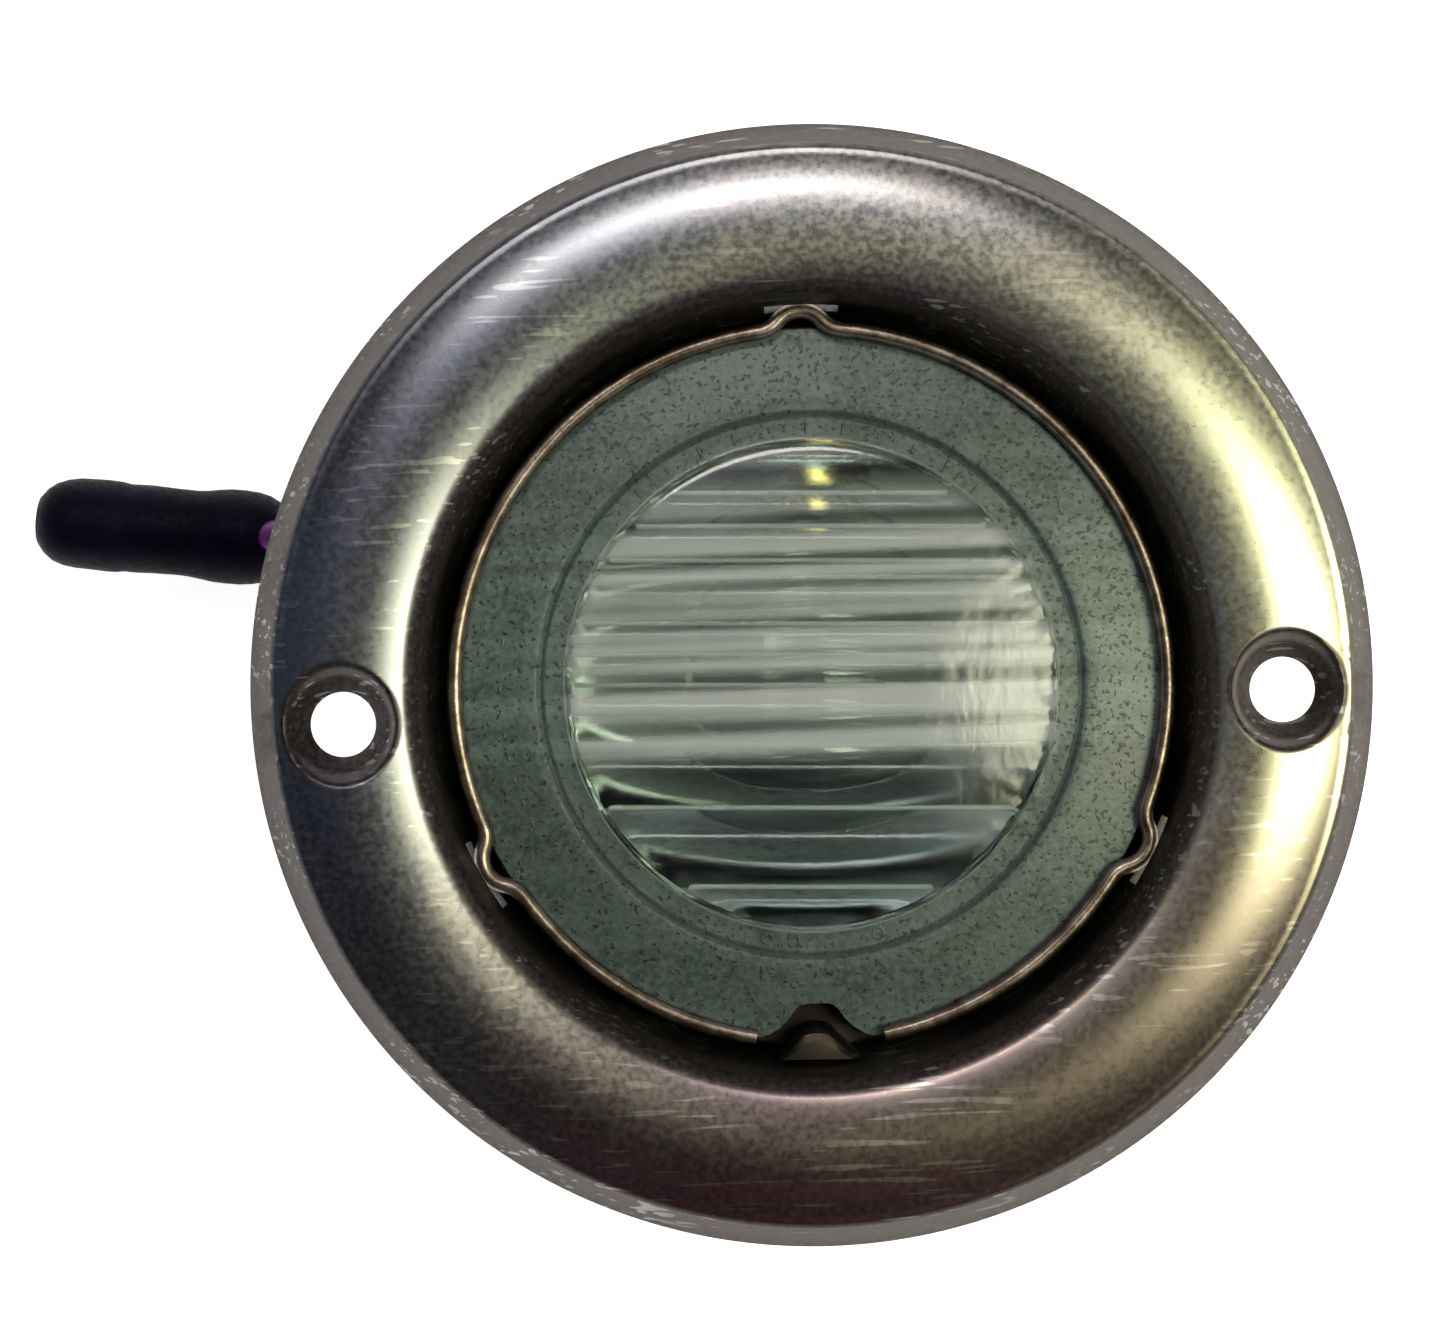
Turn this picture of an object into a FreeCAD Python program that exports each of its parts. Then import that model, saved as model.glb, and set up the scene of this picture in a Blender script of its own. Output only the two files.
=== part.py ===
"""Round flush-mount reversing lamp: pressed steel housing, glass lens, wire ring, bayonet bulb, lead.

Frame: +Z is the optical axis, the lamp lies on its back with the bowl's floor on z = 0.
+X runs along the line of the two screw holes and +Y points to the bulb socket.  Millimetres.
"""
import FreeCAD, Part
import math
import os
import Sketcher

Vector = FreeCAD.Vector
Rotation = FreeCAD.Rotation
Placement = FreeCAD.Placement

doc = FreeCAD.newDocument("ReversingLamp")
sheet = doc.addObject("Spreadsheet::Sheet", "Sizes")
sub_parts = []


class Size:
    """A number together with the expression that gives it from the sheet."""

    def __init__(self, number, text):
        self.number = float(number)
        self.text = text

    def __add__(self, other):
        other = as_size(other)
        return Size(self.number + other.number, "(%s + %s)" % (self.text, other.text))

    def __sub__(self, other):
        other = as_size(other)
        return Size(self.number - other.number, "(%s - %s)" % (self.text, other.text))

    def __mul__(self, other):
        other = as_size(other)
        return Size(self.number * other.number, "(%s * %s)" % (self.text, other.text))

    def __neg__(self):
        return Size(-self.number, "(0 - %s)" % self.text)


def as_size(value):
    if isinstance(value, Size):
        return value
    return Size(value, "%.6f" % value)


def size(name, number):
    """Put one driving dimension in the sheet and return it."""
    cell = "B%d" % (size.rows + 1)
    size.rows += 1
    sheet.set("A%d" % size.rows, name)
    sheet.set(cell, "%g" % number)
    sheet.setAlias(cell, name)
    return Size(number, "Sizes.%s" % name)


size.rows = 0

ZERO = as_size(0)

# Housing: sheet thickness, flange, lens pocket, bowl and neck.
steel = size("steel", 0.9)
mount_z = size("mount_z", 38.0)
flange_r = size("flange_r", 57.15)
crease_r = size("crease_r", 54.3)
crease_z = size("crease_z", 41.6)
bevel_past = size("bevel_past", 0.25)
crown_inner_r = size("crown_inner_r", 41.6)
crown_inner_z = size("crown_inner_z", 42.3)
crown_bend = size("crown_bend", 19.0)
roll_r = size("roll_r", 39.6)
roll_z = size("roll_z", 40.1)
roll_bend = size("roll_bend", 2.2)
pocket_r = size("pocket_r", 37.8)
pocket_bend = size("pocket_bend", 0.8)
ledge_z = size("ledge_z", 31.2)
ledge_inner_r = size("ledge_inner_r", 30.2)
ledge_bend = size("ledge_bend", 1.2)
bowl_top_r = size("bowl_top_r", 29.2)
bowl_foot_r = size("bowl_foot_r", 27.2)
bowl_bend = size("bowl_bend", 5.0)
socket_z = size("socket_z", 15.6)
neck_r = size("neck_r", 9.3)
neck_start = size("neck_start", 20.0)
neck_end = size("neck_end", 43.0)

# Screw dimples, ring slots and the locating nub.
screw_spacing = size("screw_spacing", 95.25)
screw_y = size("screw_y", -2.2)
screw_hole_r = size("screw_hole_r", 3.3)
dimple_r = size("dimple_r", 6.3)
dimple_shoulder_r = size("dimple_shoulder_r", 5.0)
dimple_shoulder_z = size("dimple_shoulder_z", 41.0)
dimple_seat_z = size("dimple_seat_z", 39.2)
dimple_top_z = size("dimple_top_z", 43.4)
slot_low_z = size("slot_low_z", 34.7)
slot_height = size("slot_height", 2.7)
slot_width = size("slot_width", 12.0)
slot_outer_r = size("slot_outer_r", 41.0)
slot_inner_r = size("slot_inner_r", 35.8)
nub_tip_r = size("nub_tip_r", 34.9)
nub_tip_half = size("nub_tip_half", 1.2)
nub_root_half = size("nub_root_half", 3.6)
nub_height = size("nub_height", 5.4)

# Gasket, lens and retaining ring.
gasket_thick = size("gasket_thick", 1.0)
gasket_inner_r = size("gasket_inner_r", 31.6)
gasket_outer_r = size("gasket_outer_r", 36.5)
touch_gap = size("touch_gap", 0.05)
lens_r = size("lens_r", 36.75)
lens_rim_thick = size("lens_rim_thick", 2.75)
lens_edge = size("lens_edge", 0.4)
lens_flat_r = size("lens_flat_r", 35.3)
band_inner_r = size("band_inner_r", 28.2)
band_rise = size("band_rise", 1.2)
step_width = size("step_width", 0.7)
step_drop = size("step_drop", 0.35)
window_r = size("window_r", 25.2)
window_wall = size("window_wall", 0.7)
window_rise = size("window_rise", 0.9)
lens_crown = size("lens_crown", 3.8)
lens_bend = size("lens_bend", 170.0)
lens_under_r = size("lens_under_r", 30.6)
lens_under_rise = size("lens_under_rise", 1.0)
lens_floor = size("lens_floor", 1.6)
flute_r = size("flute_r", 24.2)
flute_depth = size("flute_depth", 1.1)
notch_top_r = size("notch_top_r", 32.8)
notch_top_half = size("notch_top_half", 1.6)
notch_mouth_r = size("notch_mouth_r", 38.5)
notch_mouth_half = size("notch_mouth_half", 6.8)
notch_swing = size("notch_swing", -1.1)
ring_r = size("ring_r", 36.55)
ring_wire_r = size("ring_wire_r", 0.82)
ring_kink = size("ring_kink", 1.85)
ring_kink_bend = size("ring_kink_bend", 3.0)

# Bayonet socket, along the socket axis.
cap_r = size("cap_r", 7.5)
running_gap = size("running_gap", 0.08)
barrel_wall = size("barrel_wall", 0.62)
barrel_start = size("barrel_start", 22.0)
barrel_bead = size("barrel_bead", 1.2)
front_bead_at = size("front_bead_at", 29.0)
rear_bead_at = size("rear_bead_at", 41.2)
rear_lip_r = size("rear_lip_r", 6.0)
rear_lip = size("rear_lip", 0.6)
pin_r = size("pin_r", 1.0)
pin_reach = size("pin_reach", 8.9)
pin_at = size("pin_at", 26.0)
push_travel = size("push_travel", 1.5)
turn_travel = size("turn_travel", 20.0)
slot_gap = size("slot_gap", 0.25)
contact_at = size("contact_at", 34.85)
button_r = size("button_r", 2.6)
button_thick = size("button_thick", 1.05)
shank_r = size("shank_r", 1.6)
rivet_r = size("rivet_r", 2.3)
rivet_thick = size("rivet_thick", 0.6)
carrier_thick = size("carrier_thick", 1.5)
spring_r = size("spring_r", 5.4)
spring_wire_r = size("spring_wire_r", 0.35)
spring_pitch = size("spring_pitch", 1.1)
back_at = size("back_at", 40.9)
back_thick = size("back_thick", 1.5)

# Bulb.
cap_start = size("cap_start", 18.0)
cap_end = size("cap_end", 32.5)
cap_wall = size("cap_wall", 0.4)
cap_floor_r = size("cap_floor_r", 3.2)
cap_edge = size("cap_edge", 0.8)
bead_start = size("bead_start", 31.2)
bead_end = size("bead_end", 33.9)
bead_tip_r = size("bead_tip_r", 2.6)
solder_r = size("solder_r", 2.0)
glass_r = size("glass_r", 12.6)
glass_wall = size("glass_wall", 0.6)
glass_neck_r = size("glass_neck_r", 6.8)
glass_neck_at = size("glass_neck_at", 17.6)
glass_end = size("glass_end", 22.0)
glass_middle = size("glass_middle", -1.4)
glass_bend = size("glass_bend", 34.0)
stem_flare_at = size("stem_flare_at", 13.5)
stem_foot_at = size("stem_foot_at", 19.5)
stem_r = size("stem_r", 2.1)
stem_top = size("stem_top", 5.0)
filament_at = size("filament_at", -3.0)
filament_half = size("filament_half", 3.0)
filament_coil_r = size("filament_coil_r", 0.6)
filament_wire_r = size("filament_wire_r", 0.13)
filament_pitch = size("filament_pitch", 0.6)
support_r = size("support_r", 0.22)
support_root = size("support_root", 1.2)

# Lead, grommet and connector.
lead_r = size("lead_r", 1.85)
strand_r = size("strand_r", 0.8)
grommet_r = size("grommet_r", 7.4)
grommet_flange = size("grommet_flange", 0.9)
grommet_tip_r = size("grommet_tip_r", 2.9)
lead_exit = size("lead_exit", 44.8)
boot_swing = size("boot_swing", 7.1)
boot_mouth_x = size("boot_mouth_x", -56.87)
boot_mouth_y = size("boot_mouth_y", 18.04)
boot_length = size("boot_length", 28.5)
boot_mouth_r = size("boot_mouth_r", 5.42)
boot_waist_r = size("boot_waist_r", 4.95)
boot_end_r = size("boot_end_r", 5.2)
boot_round = size("boot_round", 3.6)
receptacle_r = size("receptacle_r", 2.65)
receptacle_bore_r = size("receptacle_bore_r", 2.05)
receptacle_end = size("receptacle_end", 27.2)
bore_floor = size("bore_floor", 18.0)
crimp_r = size("crimp_r", 2.1)
crimp_start = size("crimp_start", 13.5)
crimp_end = size("crimp_end", 17.0)

RING_KINKS = (89.7, 207.7, 331.7)
RING_ENDS = (279.8, 259.1)
FLUTE_EDGES = (-24.4, -20.6, -12.5, -6.05, 0.0, 3.1, 6.25, 11.0, 12.7, 16.2, 19.6, 24.4)
LEAD_ROUTE = (
    (0.0, 44.8, 15.6),
    (0.0, 48.7, 15.6),
    (-1.2, 52.5, 15.0),
    (-3.4, 55.6, 13.7),
    (-6.3, 57.7, 11.7),
    (-9.7, 58.8, 9.5),
    (-13.4, 58.8, 7.5),
    (-17.6, 57.7, 6.1),
    (-22.2, 55.3, 5.0),
    (-27.1, 51.6, 4.5),
    (-31.2, 46.9, 4.5),
    (-35.0, 41.2, 5.3),
    (-38.1, 35.2, 6.7),
    (-40.7, 30.1, 8.2),
    (-43.4, 25.9, 9.7),
    (-46.8, 22.5, 10.9),
    (-50.9, 20.1, 11.3),
    (-55.1, 18.85, 10.6),
    (-58.9, 18.45, 8.9),
    (-62.4, 18.75, 6.65),
    (-66.3, 19.21, 5.45),
    (-70.27, 19.71, 5.45),
)

flute_swing = size("flute_swing", -2.1)
flute_edges = [size("flute_edge_%s" % letter, at) for letter, at in zip("abcdefghijkl", FLUTE_EDGES)]

doc.recompute()


def bind(thing, name, value):
    thing.setExpression(name, as_size(value).text)


def origin_plane(body, role):
    for feature in body.Origin.OriginFeatures:
        if feature.Role == role:
            return feature
    raise ValueError(role)


def arc_middle(start, end, radius, side):
    """Middle of the short arc from start to end, bulging to the left (side 1) or right (side -1)."""
    chord = end - start
    half = chord.Length / 2
    rise = radius - math.sqrt(radius * radius - half * half)
    left = Vector(-chord.y, chord.x, 0).normalize()
    return (start + end) * 0.5 + left * (rise * side)


def closed_sketch(body, corners, role="XZ_Plane"):
    """Sketch through corners (x, y) or (x, y, radius, side), the last two for an arc to the next corner."""
    sketch = body.newObject("Sketcher::SketchObject", body.Label + "_sketch")
    sketch.AttachmentSupport = (origin_plane(body, role), [""])
    sketch.MapMode = "FlatFace"
    corners = [[as_size(x) for x in corner[:2]] + list(corner[2:]) for corner in corners]
    points = [Vector(corner[0].number, corner[1].number, 0) for corner in corners]
    count = len(points)
    bound = []
    for index, corner in enumerate(corners):
        start = points[index]
        end = points[(index + 1) % count]
        if len(corner) > 2:
            radius = as_size(corner[2])
            middle = arc_middle(start, end, radius.number, corner[3])
            sketch.addGeometry(Part.Arc(start, middle, end), False)
            bound.append((Sketcher.Constraint("Radius", index, radius.number), radius))
        else:
            sketch.addGeometry(Part.LineSegment(start, end), False)
    starts = []
    ends = []
    for index, corner in enumerate(corners):
        forward = sketch.getPoint(index, 1).distanceToPoint(points[index]) < 1e-6
        starts.append(1 if forward else 2)
        ends.append(2 if forward else 1)
    for index in range(count):
        following = (index + 1) % count
        sketch.addConstraint(
            Sketcher.Constraint("Coincident", index, ends[index], following, starts[following]))
    for index, corner in enumerate(corners):
        for kind, value in (("DistanceX", corner[0]), ("DistanceY", corner[1])):
            constraint = Sketcher.Constraint(kind, -1, 1, index, starts[index], value.number)
            bound.append((constraint, value))
    for constraint, value in bound:
        place = sketch.addConstraint(constraint)
        sketch.setExpression("Constraints[%d]" % place, value.text)
    return sketch


def new_body(label):
    body = doc.addObject("PartDesign::Body", label)
    body.Label = label
    return body


def revolved(label, corners):
    """A body turned about its own Z axis from corners given as (radius, height)."""
    body = new_body(label)
    sketch = closed_sketch(body, corners)
    turn = body.newObject("PartDesign::Revolution", label + "_turn")
    turn.Profile = sketch
    turn.ReferenceAxis = (sketch, ["V_Axis"])
    turn.Angle = 360
    sketch.Visibility = False
    doc.recompute()
    return body


def padded(label, corners, length, role="XY_Plane", reversed_side=False, midplane=False):
    body = new_body(label)
    sketch = closed_sketch(body, corners, role)
    pad = body.newObject("PartDesign::Pad", label + "_pad")
    pad.Profile = sketch
    bind(pad, "Length", length)
    pad.Reversed = reversed_side
    pad.Midplane = midplane
    doc.recompute()
    return body


def cylinder(label, radius, height, placement):
    thing = doc.addObject("Part::Cylinder", label)
    bind(thing, "Radius", radius)
    bind(thing, "Height", height)
    thing.Placement = placement
    return thing


def cut(label, base, tool):
    thing = doc.addObject("Part::Cut", label)
    thing.Base = base
    thing.Tool = tool
    doc.recompute()
    if not thing.Shape.Volume < base.Shape.Volume - 1e-6:
        raise ValueError("%s removes nothing" % label)
    return thing


def fused(label, pieces):
    thing = doc.addObject("Part::MultiFuse", label)
    thing.Shapes = pieces
    doc.recompute()
    return thing


def common(label, pieces):
    thing = doc.addObject("Part::MultiCommon", label)
    thing.Shapes = pieces
    doc.recompute()
    return thing


def keep(thing, label, placement=None):
    """List a finished sub-part under its node name."""
    thing.Label = label
    if placement is not None:
        thing.Placement = placement
    sub_parts.append(thing)
    return thing


def swept(label, edges, radius):
    """A round rod along joined edges, and the length of its path."""
    path = Part.Wire(edges)
    start = path.Edges[0].valueAt(path.Edges[0].FirstParameter)
    along = path.Edges[0].tangentAt(path.Edges[0].FirstParameter)
    section = Part.Wire([Part.makeCircle(radius, start, along)])
    thing = doc.addObject("Part::Feature", label)
    thing.Shape = path.makePipeShell([section], True, False)
    return thing, path.Length


def rounded_route(points):
    """Straight runs joined by tangent arcs, and the arcs' radii."""
    points = [Vector(*point) for point in points]
    edges = []
    radii = []
    place = points[0]
    for before, corner, after in zip(points, points[1:], points[2:]):
        incoming = corner - before
        outgoing = after - corner
        half_turn = incoming.getAngle(outgoing) / 2
        reach = 0.45 * min(incoming.Length, outgoing.Length)
        radii.append(reach / math.tan(half_turn))
        incoming.normalize()
        outgoing.normalize()
        start = corner - incoming * reach
        end = corner + outgoing * reach
        inward = (outgoing - incoming).normalize()
        middle = corner + inward * (reach * (1 - math.cos(half_turn)) / math.sin(half_turn))
        if start.distanceToPoint(place) > 1e-6:
            edges.append(Part.LineSegment(place, start).toShape())
        edges.append(Part.Arc(start, middle, end).toShape())
        place = end
    edges.append(Part.LineSegment(place, points[-1]).toShape())
    return edges, radii


def socket_placement():
    """The socket's own Z axis lies along the lamp's +Y."""
    return Placement(Vector(0, 0, socket_z.number), Rotation(Vector(1, 0, 0), -90))


def on_circle(radius, degrees, height=0.0):
    angle = math.radians(degrees)
    return Vector(radius * math.cos(angle), radius * math.sin(angle), height)


def build_housing():
    """Pressed shell: one sheet profile turned about Z, then dimples, ring slots, nub and neck."""
    low_r = flange_r + (flange_r - crease_r) * bevel_past
    low_z = mount_z - (crease_z - mount_z) * bevel_past
    shell = revolved("shell", [
        (low_r, low_z),
        (crease_r, crease_z, crown_bend, -1),
        (crown_inner_r, crown_inner_z, roll_bend + steel, -1),
        (roll_r, roll_z),
        (pocket_r, ledge_z + pocket_bend, pocket_bend, 1),
        (pocket_r - pocket_bend, ledge_z),
        (ledge_inner_r, ledge_z, ledge_bend, -1),
        (bowl_top_r, ledge_z - ledge_bend),
        (bowl_foot_r, steel + bowl_bend, bowl_bend, 1),
        (bowl_foot_r - bowl_bend, steel),
        (ZERO, steel),
        (ZERO, ZERO),
        (bowl_foot_r - bowl_bend, ZERO, bowl_bend + steel, -1),
        (bowl_foot_r + steel, steel + bowl_bend),
        (bowl_top_r + steel, ledge_z - ledge_bend - steel * 0.2),
        (ledge_inner_r + steel * 0.6, ledge_z - steel),
        (pocket_r - pocket_bend, ledge_z - steel, pocket_bend + steel, -1),
        (pocket_r + steel, ledge_z + pocket_bend),
        (roll_r + steel, roll_z),
        (crown_inner_r + steel * 0.4, crown_inner_z - steel * 0.9, crown_bend - steel, 1),
        (crease_r - steel * 0.7, crease_z - steel),
        (low_r - steel * 1.15, low_z),
    ])
    below_lip = revolved("below_lip", [
        (crown_inner_r, low_z - 1),
        (flange_r + flange_r * 0.1, low_z - 1),
        (flange_r + flange_r * 0.1, mount_z),
        (crown_inner_r, mount_z),
    ])
    above_crown = revolved("above_crown", [
        (crease_r, crease_z, crown_bend, -1),
        (crown_inner_r, crown_inner_z, roll_bend + steel, -1),
        (roll_r, roll_z),
        (roll_r, dimple_top_z + 1),
        (flange_r, dimple_top_z + 1),
        (flange_r, mount_z),
    ])
    cups = []
    punches = []
    for name, side in (("left", -0.5), ("right", 0.5)):
        place = Placement(Vector(screw_spacing.number * side, screw_y.number, 0), Rotation())
        cup = revolved(name + "_dimple", [
            (dimple_r, dimple_top_z),
            (dimple_shoulder_r, dimple_shoulder_z),
            (screw_hole_r, dimple_seat_z),
            (screw_hole_r, mount_z),
            (screw_hole_r + steel * 1.3, mount_z),
            (dimple_shoulder_r + steel, dimple_shoulder_z - steel * 0.6),
            (dimple_r + steel, dimple_top_z),
        ])
        cup.Placement = place
        cups.append(cup)
        punch_place = place.copy()
        punch_place.Base.z = mount_z.number - 1
        punches.append(cylinder(name + "_punch", dimple_r - steel * 0.1, steel * 10, punch_place))
    trimmed = cut("shell_trimmed", shell, below_lip)
    trimmed_shell = cut("shell_with_openings", trimmed, fused("punches", punches))
    trimmed_cups = cut("dimples", fused("cups", cups), above_crown)

    along = socket_placement()
    along.Base.y = neck_start.number
    neck_length = neck_end - neck_start
    neck_bore = cylinder("neck_bore", neck_r, neck_length, along)
    neck_outside = cylinder("neck_outside", neck_r + steel, neck_length, along)
    bowl_room = revolved("bowl_room", [
        (ZERO, ZERO),
        (bowl_foot_r + steel * 0.5, ZERO),
        (bowl_foot_r + steel * 0.5, steel + bowl_bend),
        (bowl_top_r + steel * 0.5, ledge_z - ledge_bend),
        (ZERO, ledge_z - ledge_bend),
    ])
    neck = cut("neck", cut("neck_tube", neck_outside, neck_bore), bowl_room)

    nub = padded("nub", [
        (-nub_tip_half, -nub_tip_r),
        (-nub_root_half, -pocket_r - steel * 0.4),
        (nub_root_half, -pocket_r - steel * 0.4),
        (nub_tip_half, -nub_tip_r),
    ], nub_height)
    nub.Placement = Placement(Vector(0, 0, ledge_z.number), Rotation(Vector(0, 0, 1), notch_swing.number))

    slots = []
    for index, degrees in enumerate(RING_KINKS):
        window = doc.addObject("Part::Box", "ring_slot_%d" % (index + 1))
        bind(window, "Length", slot_outer_r - slot_inner_r)
        bind(window, "Width", slot_width)
        bind(window, "Height", slot_height)
        turn = Rotation(Vector(0, 0, 1), degrees)
        corner = turn.multVec(Vector(slot_inner_r.number, -slot_width.number / 2, slot_low_z.number))
        window.Placement = Placement(corner, turn)
        slots.append(window)
    with_bore = cut("shell_with_neck_hole", trimmed_shell, neck_bore)
    whole = fused("pressed_whole", [with_bore, trimmed_cups, neck, nub])
    keep(cut("housing", whole, fused("ring_slots", slots)), "housing")


def notch_cutter(label):
    """Wedge that clears the locating nub out of the gasket and the lens."""
    cutter = padded(label, [
        (-notch_top_half, -notch_top_r),
        (-notch_mouth_half, -notch_mouth_r),
        (notch_mouth_half, -notch_mouth_r),
        (notch_top_half, -notch_top_r),
    ], ledge_z)
    swing = Rotation(Vector(0, 0, 1), notch_swing.number)
    cutter.Placement = Placement(Vector(0, 0, 0.5 * ledge_z.number), swing)
    return cutter


def build_gasket():
    blank = revolved("gasket_blank", [
        (gasket_inner_r, ledge_z),
        (gasket_outer_r, ledge_z),
        (gasket_outer_r, ledge_z + gasket_thick),
        (gasket_inner_r, ledge_z + gasket_thick),
    ])
    keep(cut("lens_gasket", blank, notch_cutter("gasket_notch")), "lens_gasket")


def build_lens():
    """Moulded glass: stepped bands, a proud window, flutes on its underside, a locating notch."""
    seat = ledge_z + gasket_thick + touch_gap
    rim = seat + lens_rim_thick
    band = rim + band_rise
    floor = seat + lens_floor
    blank = revolved("lens_blank", [
        (ZERO, rim + lens_crown, lens_bend, 1),
        (window_r - window_wall, band + window_rise),
        (window_r, band),
        (band_inner_r - step_width, band),
        (band_inner_r - step_width * 0.5, band - step_drop),
        (band_inner_r, band),
        (lens_flat_r, rim),
        (lens_r - lens_edge, rim),
        (lens_r, rim - lens_edge),
        (lens_r, seat),
        (lens_under_r + lens_edge, seat),
        (lens_under_r, seat + lens_under_rise),
        (flute_r + lens_floor, seat + lens_under_rise),
        (flute_r, floor),
        (ZERO, floor),
    ])
    comb = [(flute_edges[0], floor - lens_floor)]
    for lower, upper in zip(flute_edges, flute_edges[1:]):
        comb.append((lower, floor))
        comb.append((upper, floor + flute_depth))
    comb.append((flute_edges[-1], floor - lens_floor))
    teeth = padded("flute_teeth", comb, flute_r * 2.2, "YZ_Plane", midplane=True)
    teeth.Placement = Placement(Vector(), Rotation(Vector(0, 0, 1), flute_swing.number))
    room_place = Placement(Vector(0, 0, ledge_z.number), Rotation())
    room = cylinder("flute_room", flute_r, ledge_z + lens_crown, room_place)
    fluted = cut("lens_fluted", blank, common("flutes", [teeth, room]))
    keep(cut("lens", fluted, notch_cutter("lens_notch")), "lens")


def ring_edges(height):
    """Open circle with three outward kinks, each a foot arc, a crest arc and a foot arc."""
    base = ring_r.number
    bend = ring_kink_bend.number
    crest = base + ring_kink.number
    foot_reach = base + bend
    crest_reach = crest - bend
    swing = math.degrees(math.acos(
        (foot_reach ** 2 + crest_reach ** 2 - 4 * bend ** 2) / (2 * foot_reach * crest_reach)))
    edges = []

    def arc(points):
        edges.append(Part.Arc(*points).toShape())

    place = RING_ENDS[0] - 360
    last = RING_ENDS[1]
    for kink in sorted(angle if angle < RING_ENDS[0] else angle - 360 for angle in RING_KINKS):
        turns = (place, (place + kink - swing) / 2, kink - swing)
        arc([on_circle(base, degrees, height) for degrees in turns])
        centre = on_circle(crest_reach, kink, height)
        feet = []
        for degrees in (kink - swing, kink + swing):
            foot_centre = on_circle(foot_reach, degrees, height)
            meeting = (foot_centre + centre) * 0.5
            start = on_circle(base, degrees, height)
            toward = (start - foot_centre) + (meeting - foot_centre)
            feet.append((start, foot_centre + toward.normalize() * bend, meeting))
        arc(feet[0])
        arc((feet[0][2], on_circle(crest, kink, height), feet[1][2]))
        arc(tuple(reversed(feet[1])))
        place = kink + swing
    arc([on_circle(base, degrees, height) for degrees in (place, (place + last) / 2, last)])
    return edges


def build_ring():
    height = (ledge_z + gasket_thick + touch_gap * 2 + lens_rim_thick + ring_wire_r).number
    ring, length = swept("retaining_ring", ring_edges(height), ring_wire_r.number)
    ring.Placement = Placement()
    print("retaining ring: %.1f mm of wire" % length)
    keep(ring, "retaining_ring")


def build_socket():
    """Barrel with two bayonet slots, the sprung contact, the fixed back disc and the grommet."""
    bore = cap_r + running_gap
    outside = bore + barrel_wall
    tube = revolved("barrel_tube", [
        (bore, barrel_start),
        (outside, barrel_start),
        (outside, front_bead_at),
        (neck_r, front_bead_at),
        (neck_r, front_bead_at + barrel_bead),
        (outside, front_bead_at + barrel_bead),
        (outside, rear_bead_at),
        (neck_r, rear_bead_at),
        (neck_r, neck_end),
        (rear_lip_r, neck_end),
        (rear_lip_r, neck_end - rear_lip),
        (bore, neck_end - rear_lip),
    ])
    cutters = []
    steps = 5
    for side, start in enumerate((0, 180)):
        for step in range(steps):
            share = step / (steps - 1)
            turn = Rotation(Vector(0, 0, 1), start + turn_travel.number * share)
            lying = turn.multiply(Rotation(Vector(0, 1, 0), 90))
            place = Placement(Vector(0, 0, pin_at.number + push_travel.number * share), lying)
            cutters.append(cylinder("bayonet_%d_%d" % (side, step), pin_r + slot_gap, neck_r, place))
        entry = doc.addObject("Part::Box", "bayonet_entry_%d" % side)
        bind(entry, "Length", neck_r)
        bind(entry, "Width", (pin_r + slot_gap) * 2)
        bind(entry, "Height", pin_at + push_travel - barrel_start + 1)
        turn = Rotation(Vector(0, 0, 1), start + turn_travel.number)
        corner = turn.multVec(Vector(0, -(pin_r + slot_gap).number, barrel_start.number - 1))
        entry.Placement = Placement(corner, turn)
        cutters.append(entry)
    keep(cut("socket_barrel", tube, fused("bayonet_slots", cutters)), "socket_barrel", socket_placement())

    disc_start = contact_at + button_thick
    disc_end = disc_start + carrier_thick
    rivet_end = disc_end + rivet_thick
    keep(revolved("contact_button", [
        (ZERO, contact_at),
        (button_r, contact_at),
        (button_r, disc_start),
        (shank_r, disc_start),
        (shank_r, disc_end),
        (rivet_r, disc_end),
        (rivet_r, rivet_end),
        (ZERO, rivet_end),
    ]), "contact_button", socket_placement())
    keep(revolved("contact_carrier", [
        (shank_r, disc_start),
        (cap_r, disc_start),
        (cap_r, disc_end),
        (shank_r, disc_end),
    ]), "contact_carrier", socket_placement())
    keep(revolved("rear_insulator", [
        (lead_r, back_at),
        (bore, back_at),
        (bore, back_at + back_thick),
        (lead_r, back_at + back_thick),
    ]), "rear_insulator", socket_placement())
    keep(revolved("lead_grommet", [
        (lead_r, back_at + back_thick),
        (rear_lip_r, back_at + back_thick),
        (rear_lip_r, neck_end),
        (grommet_r, neck_end),
        (grommet_r, neck_end + grommet_flange),
        (grommet_tip_r, lead_exit),
        (lead_r, lead_exit),
    ]), "lead_grommet", socket_placement())
    keep(cylinder("lead_inside", lead_r, lead_exit - rivet_end, Placement()), "lead_inside",
         Placement(Vector(0, rivet_end.number, socket_z.number), Rotation(Vector(1, 0, 0), -90)))
    coil = coil_rod("contact_spring", spring_r, spring_wire_r, spring_pitch,
                    back_at - disc_end - spring_wire_r * 2 - touch_gap * 2)
    spring_start = (disc_end + spring_wire_r + touch_gap).number
    spring_place = Placement(Vector(0, spring_start, socket_z.number), Rotation(Vector(1, 0, 0), -90))
    keep(coil, "contact_spring", spring_place)


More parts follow.
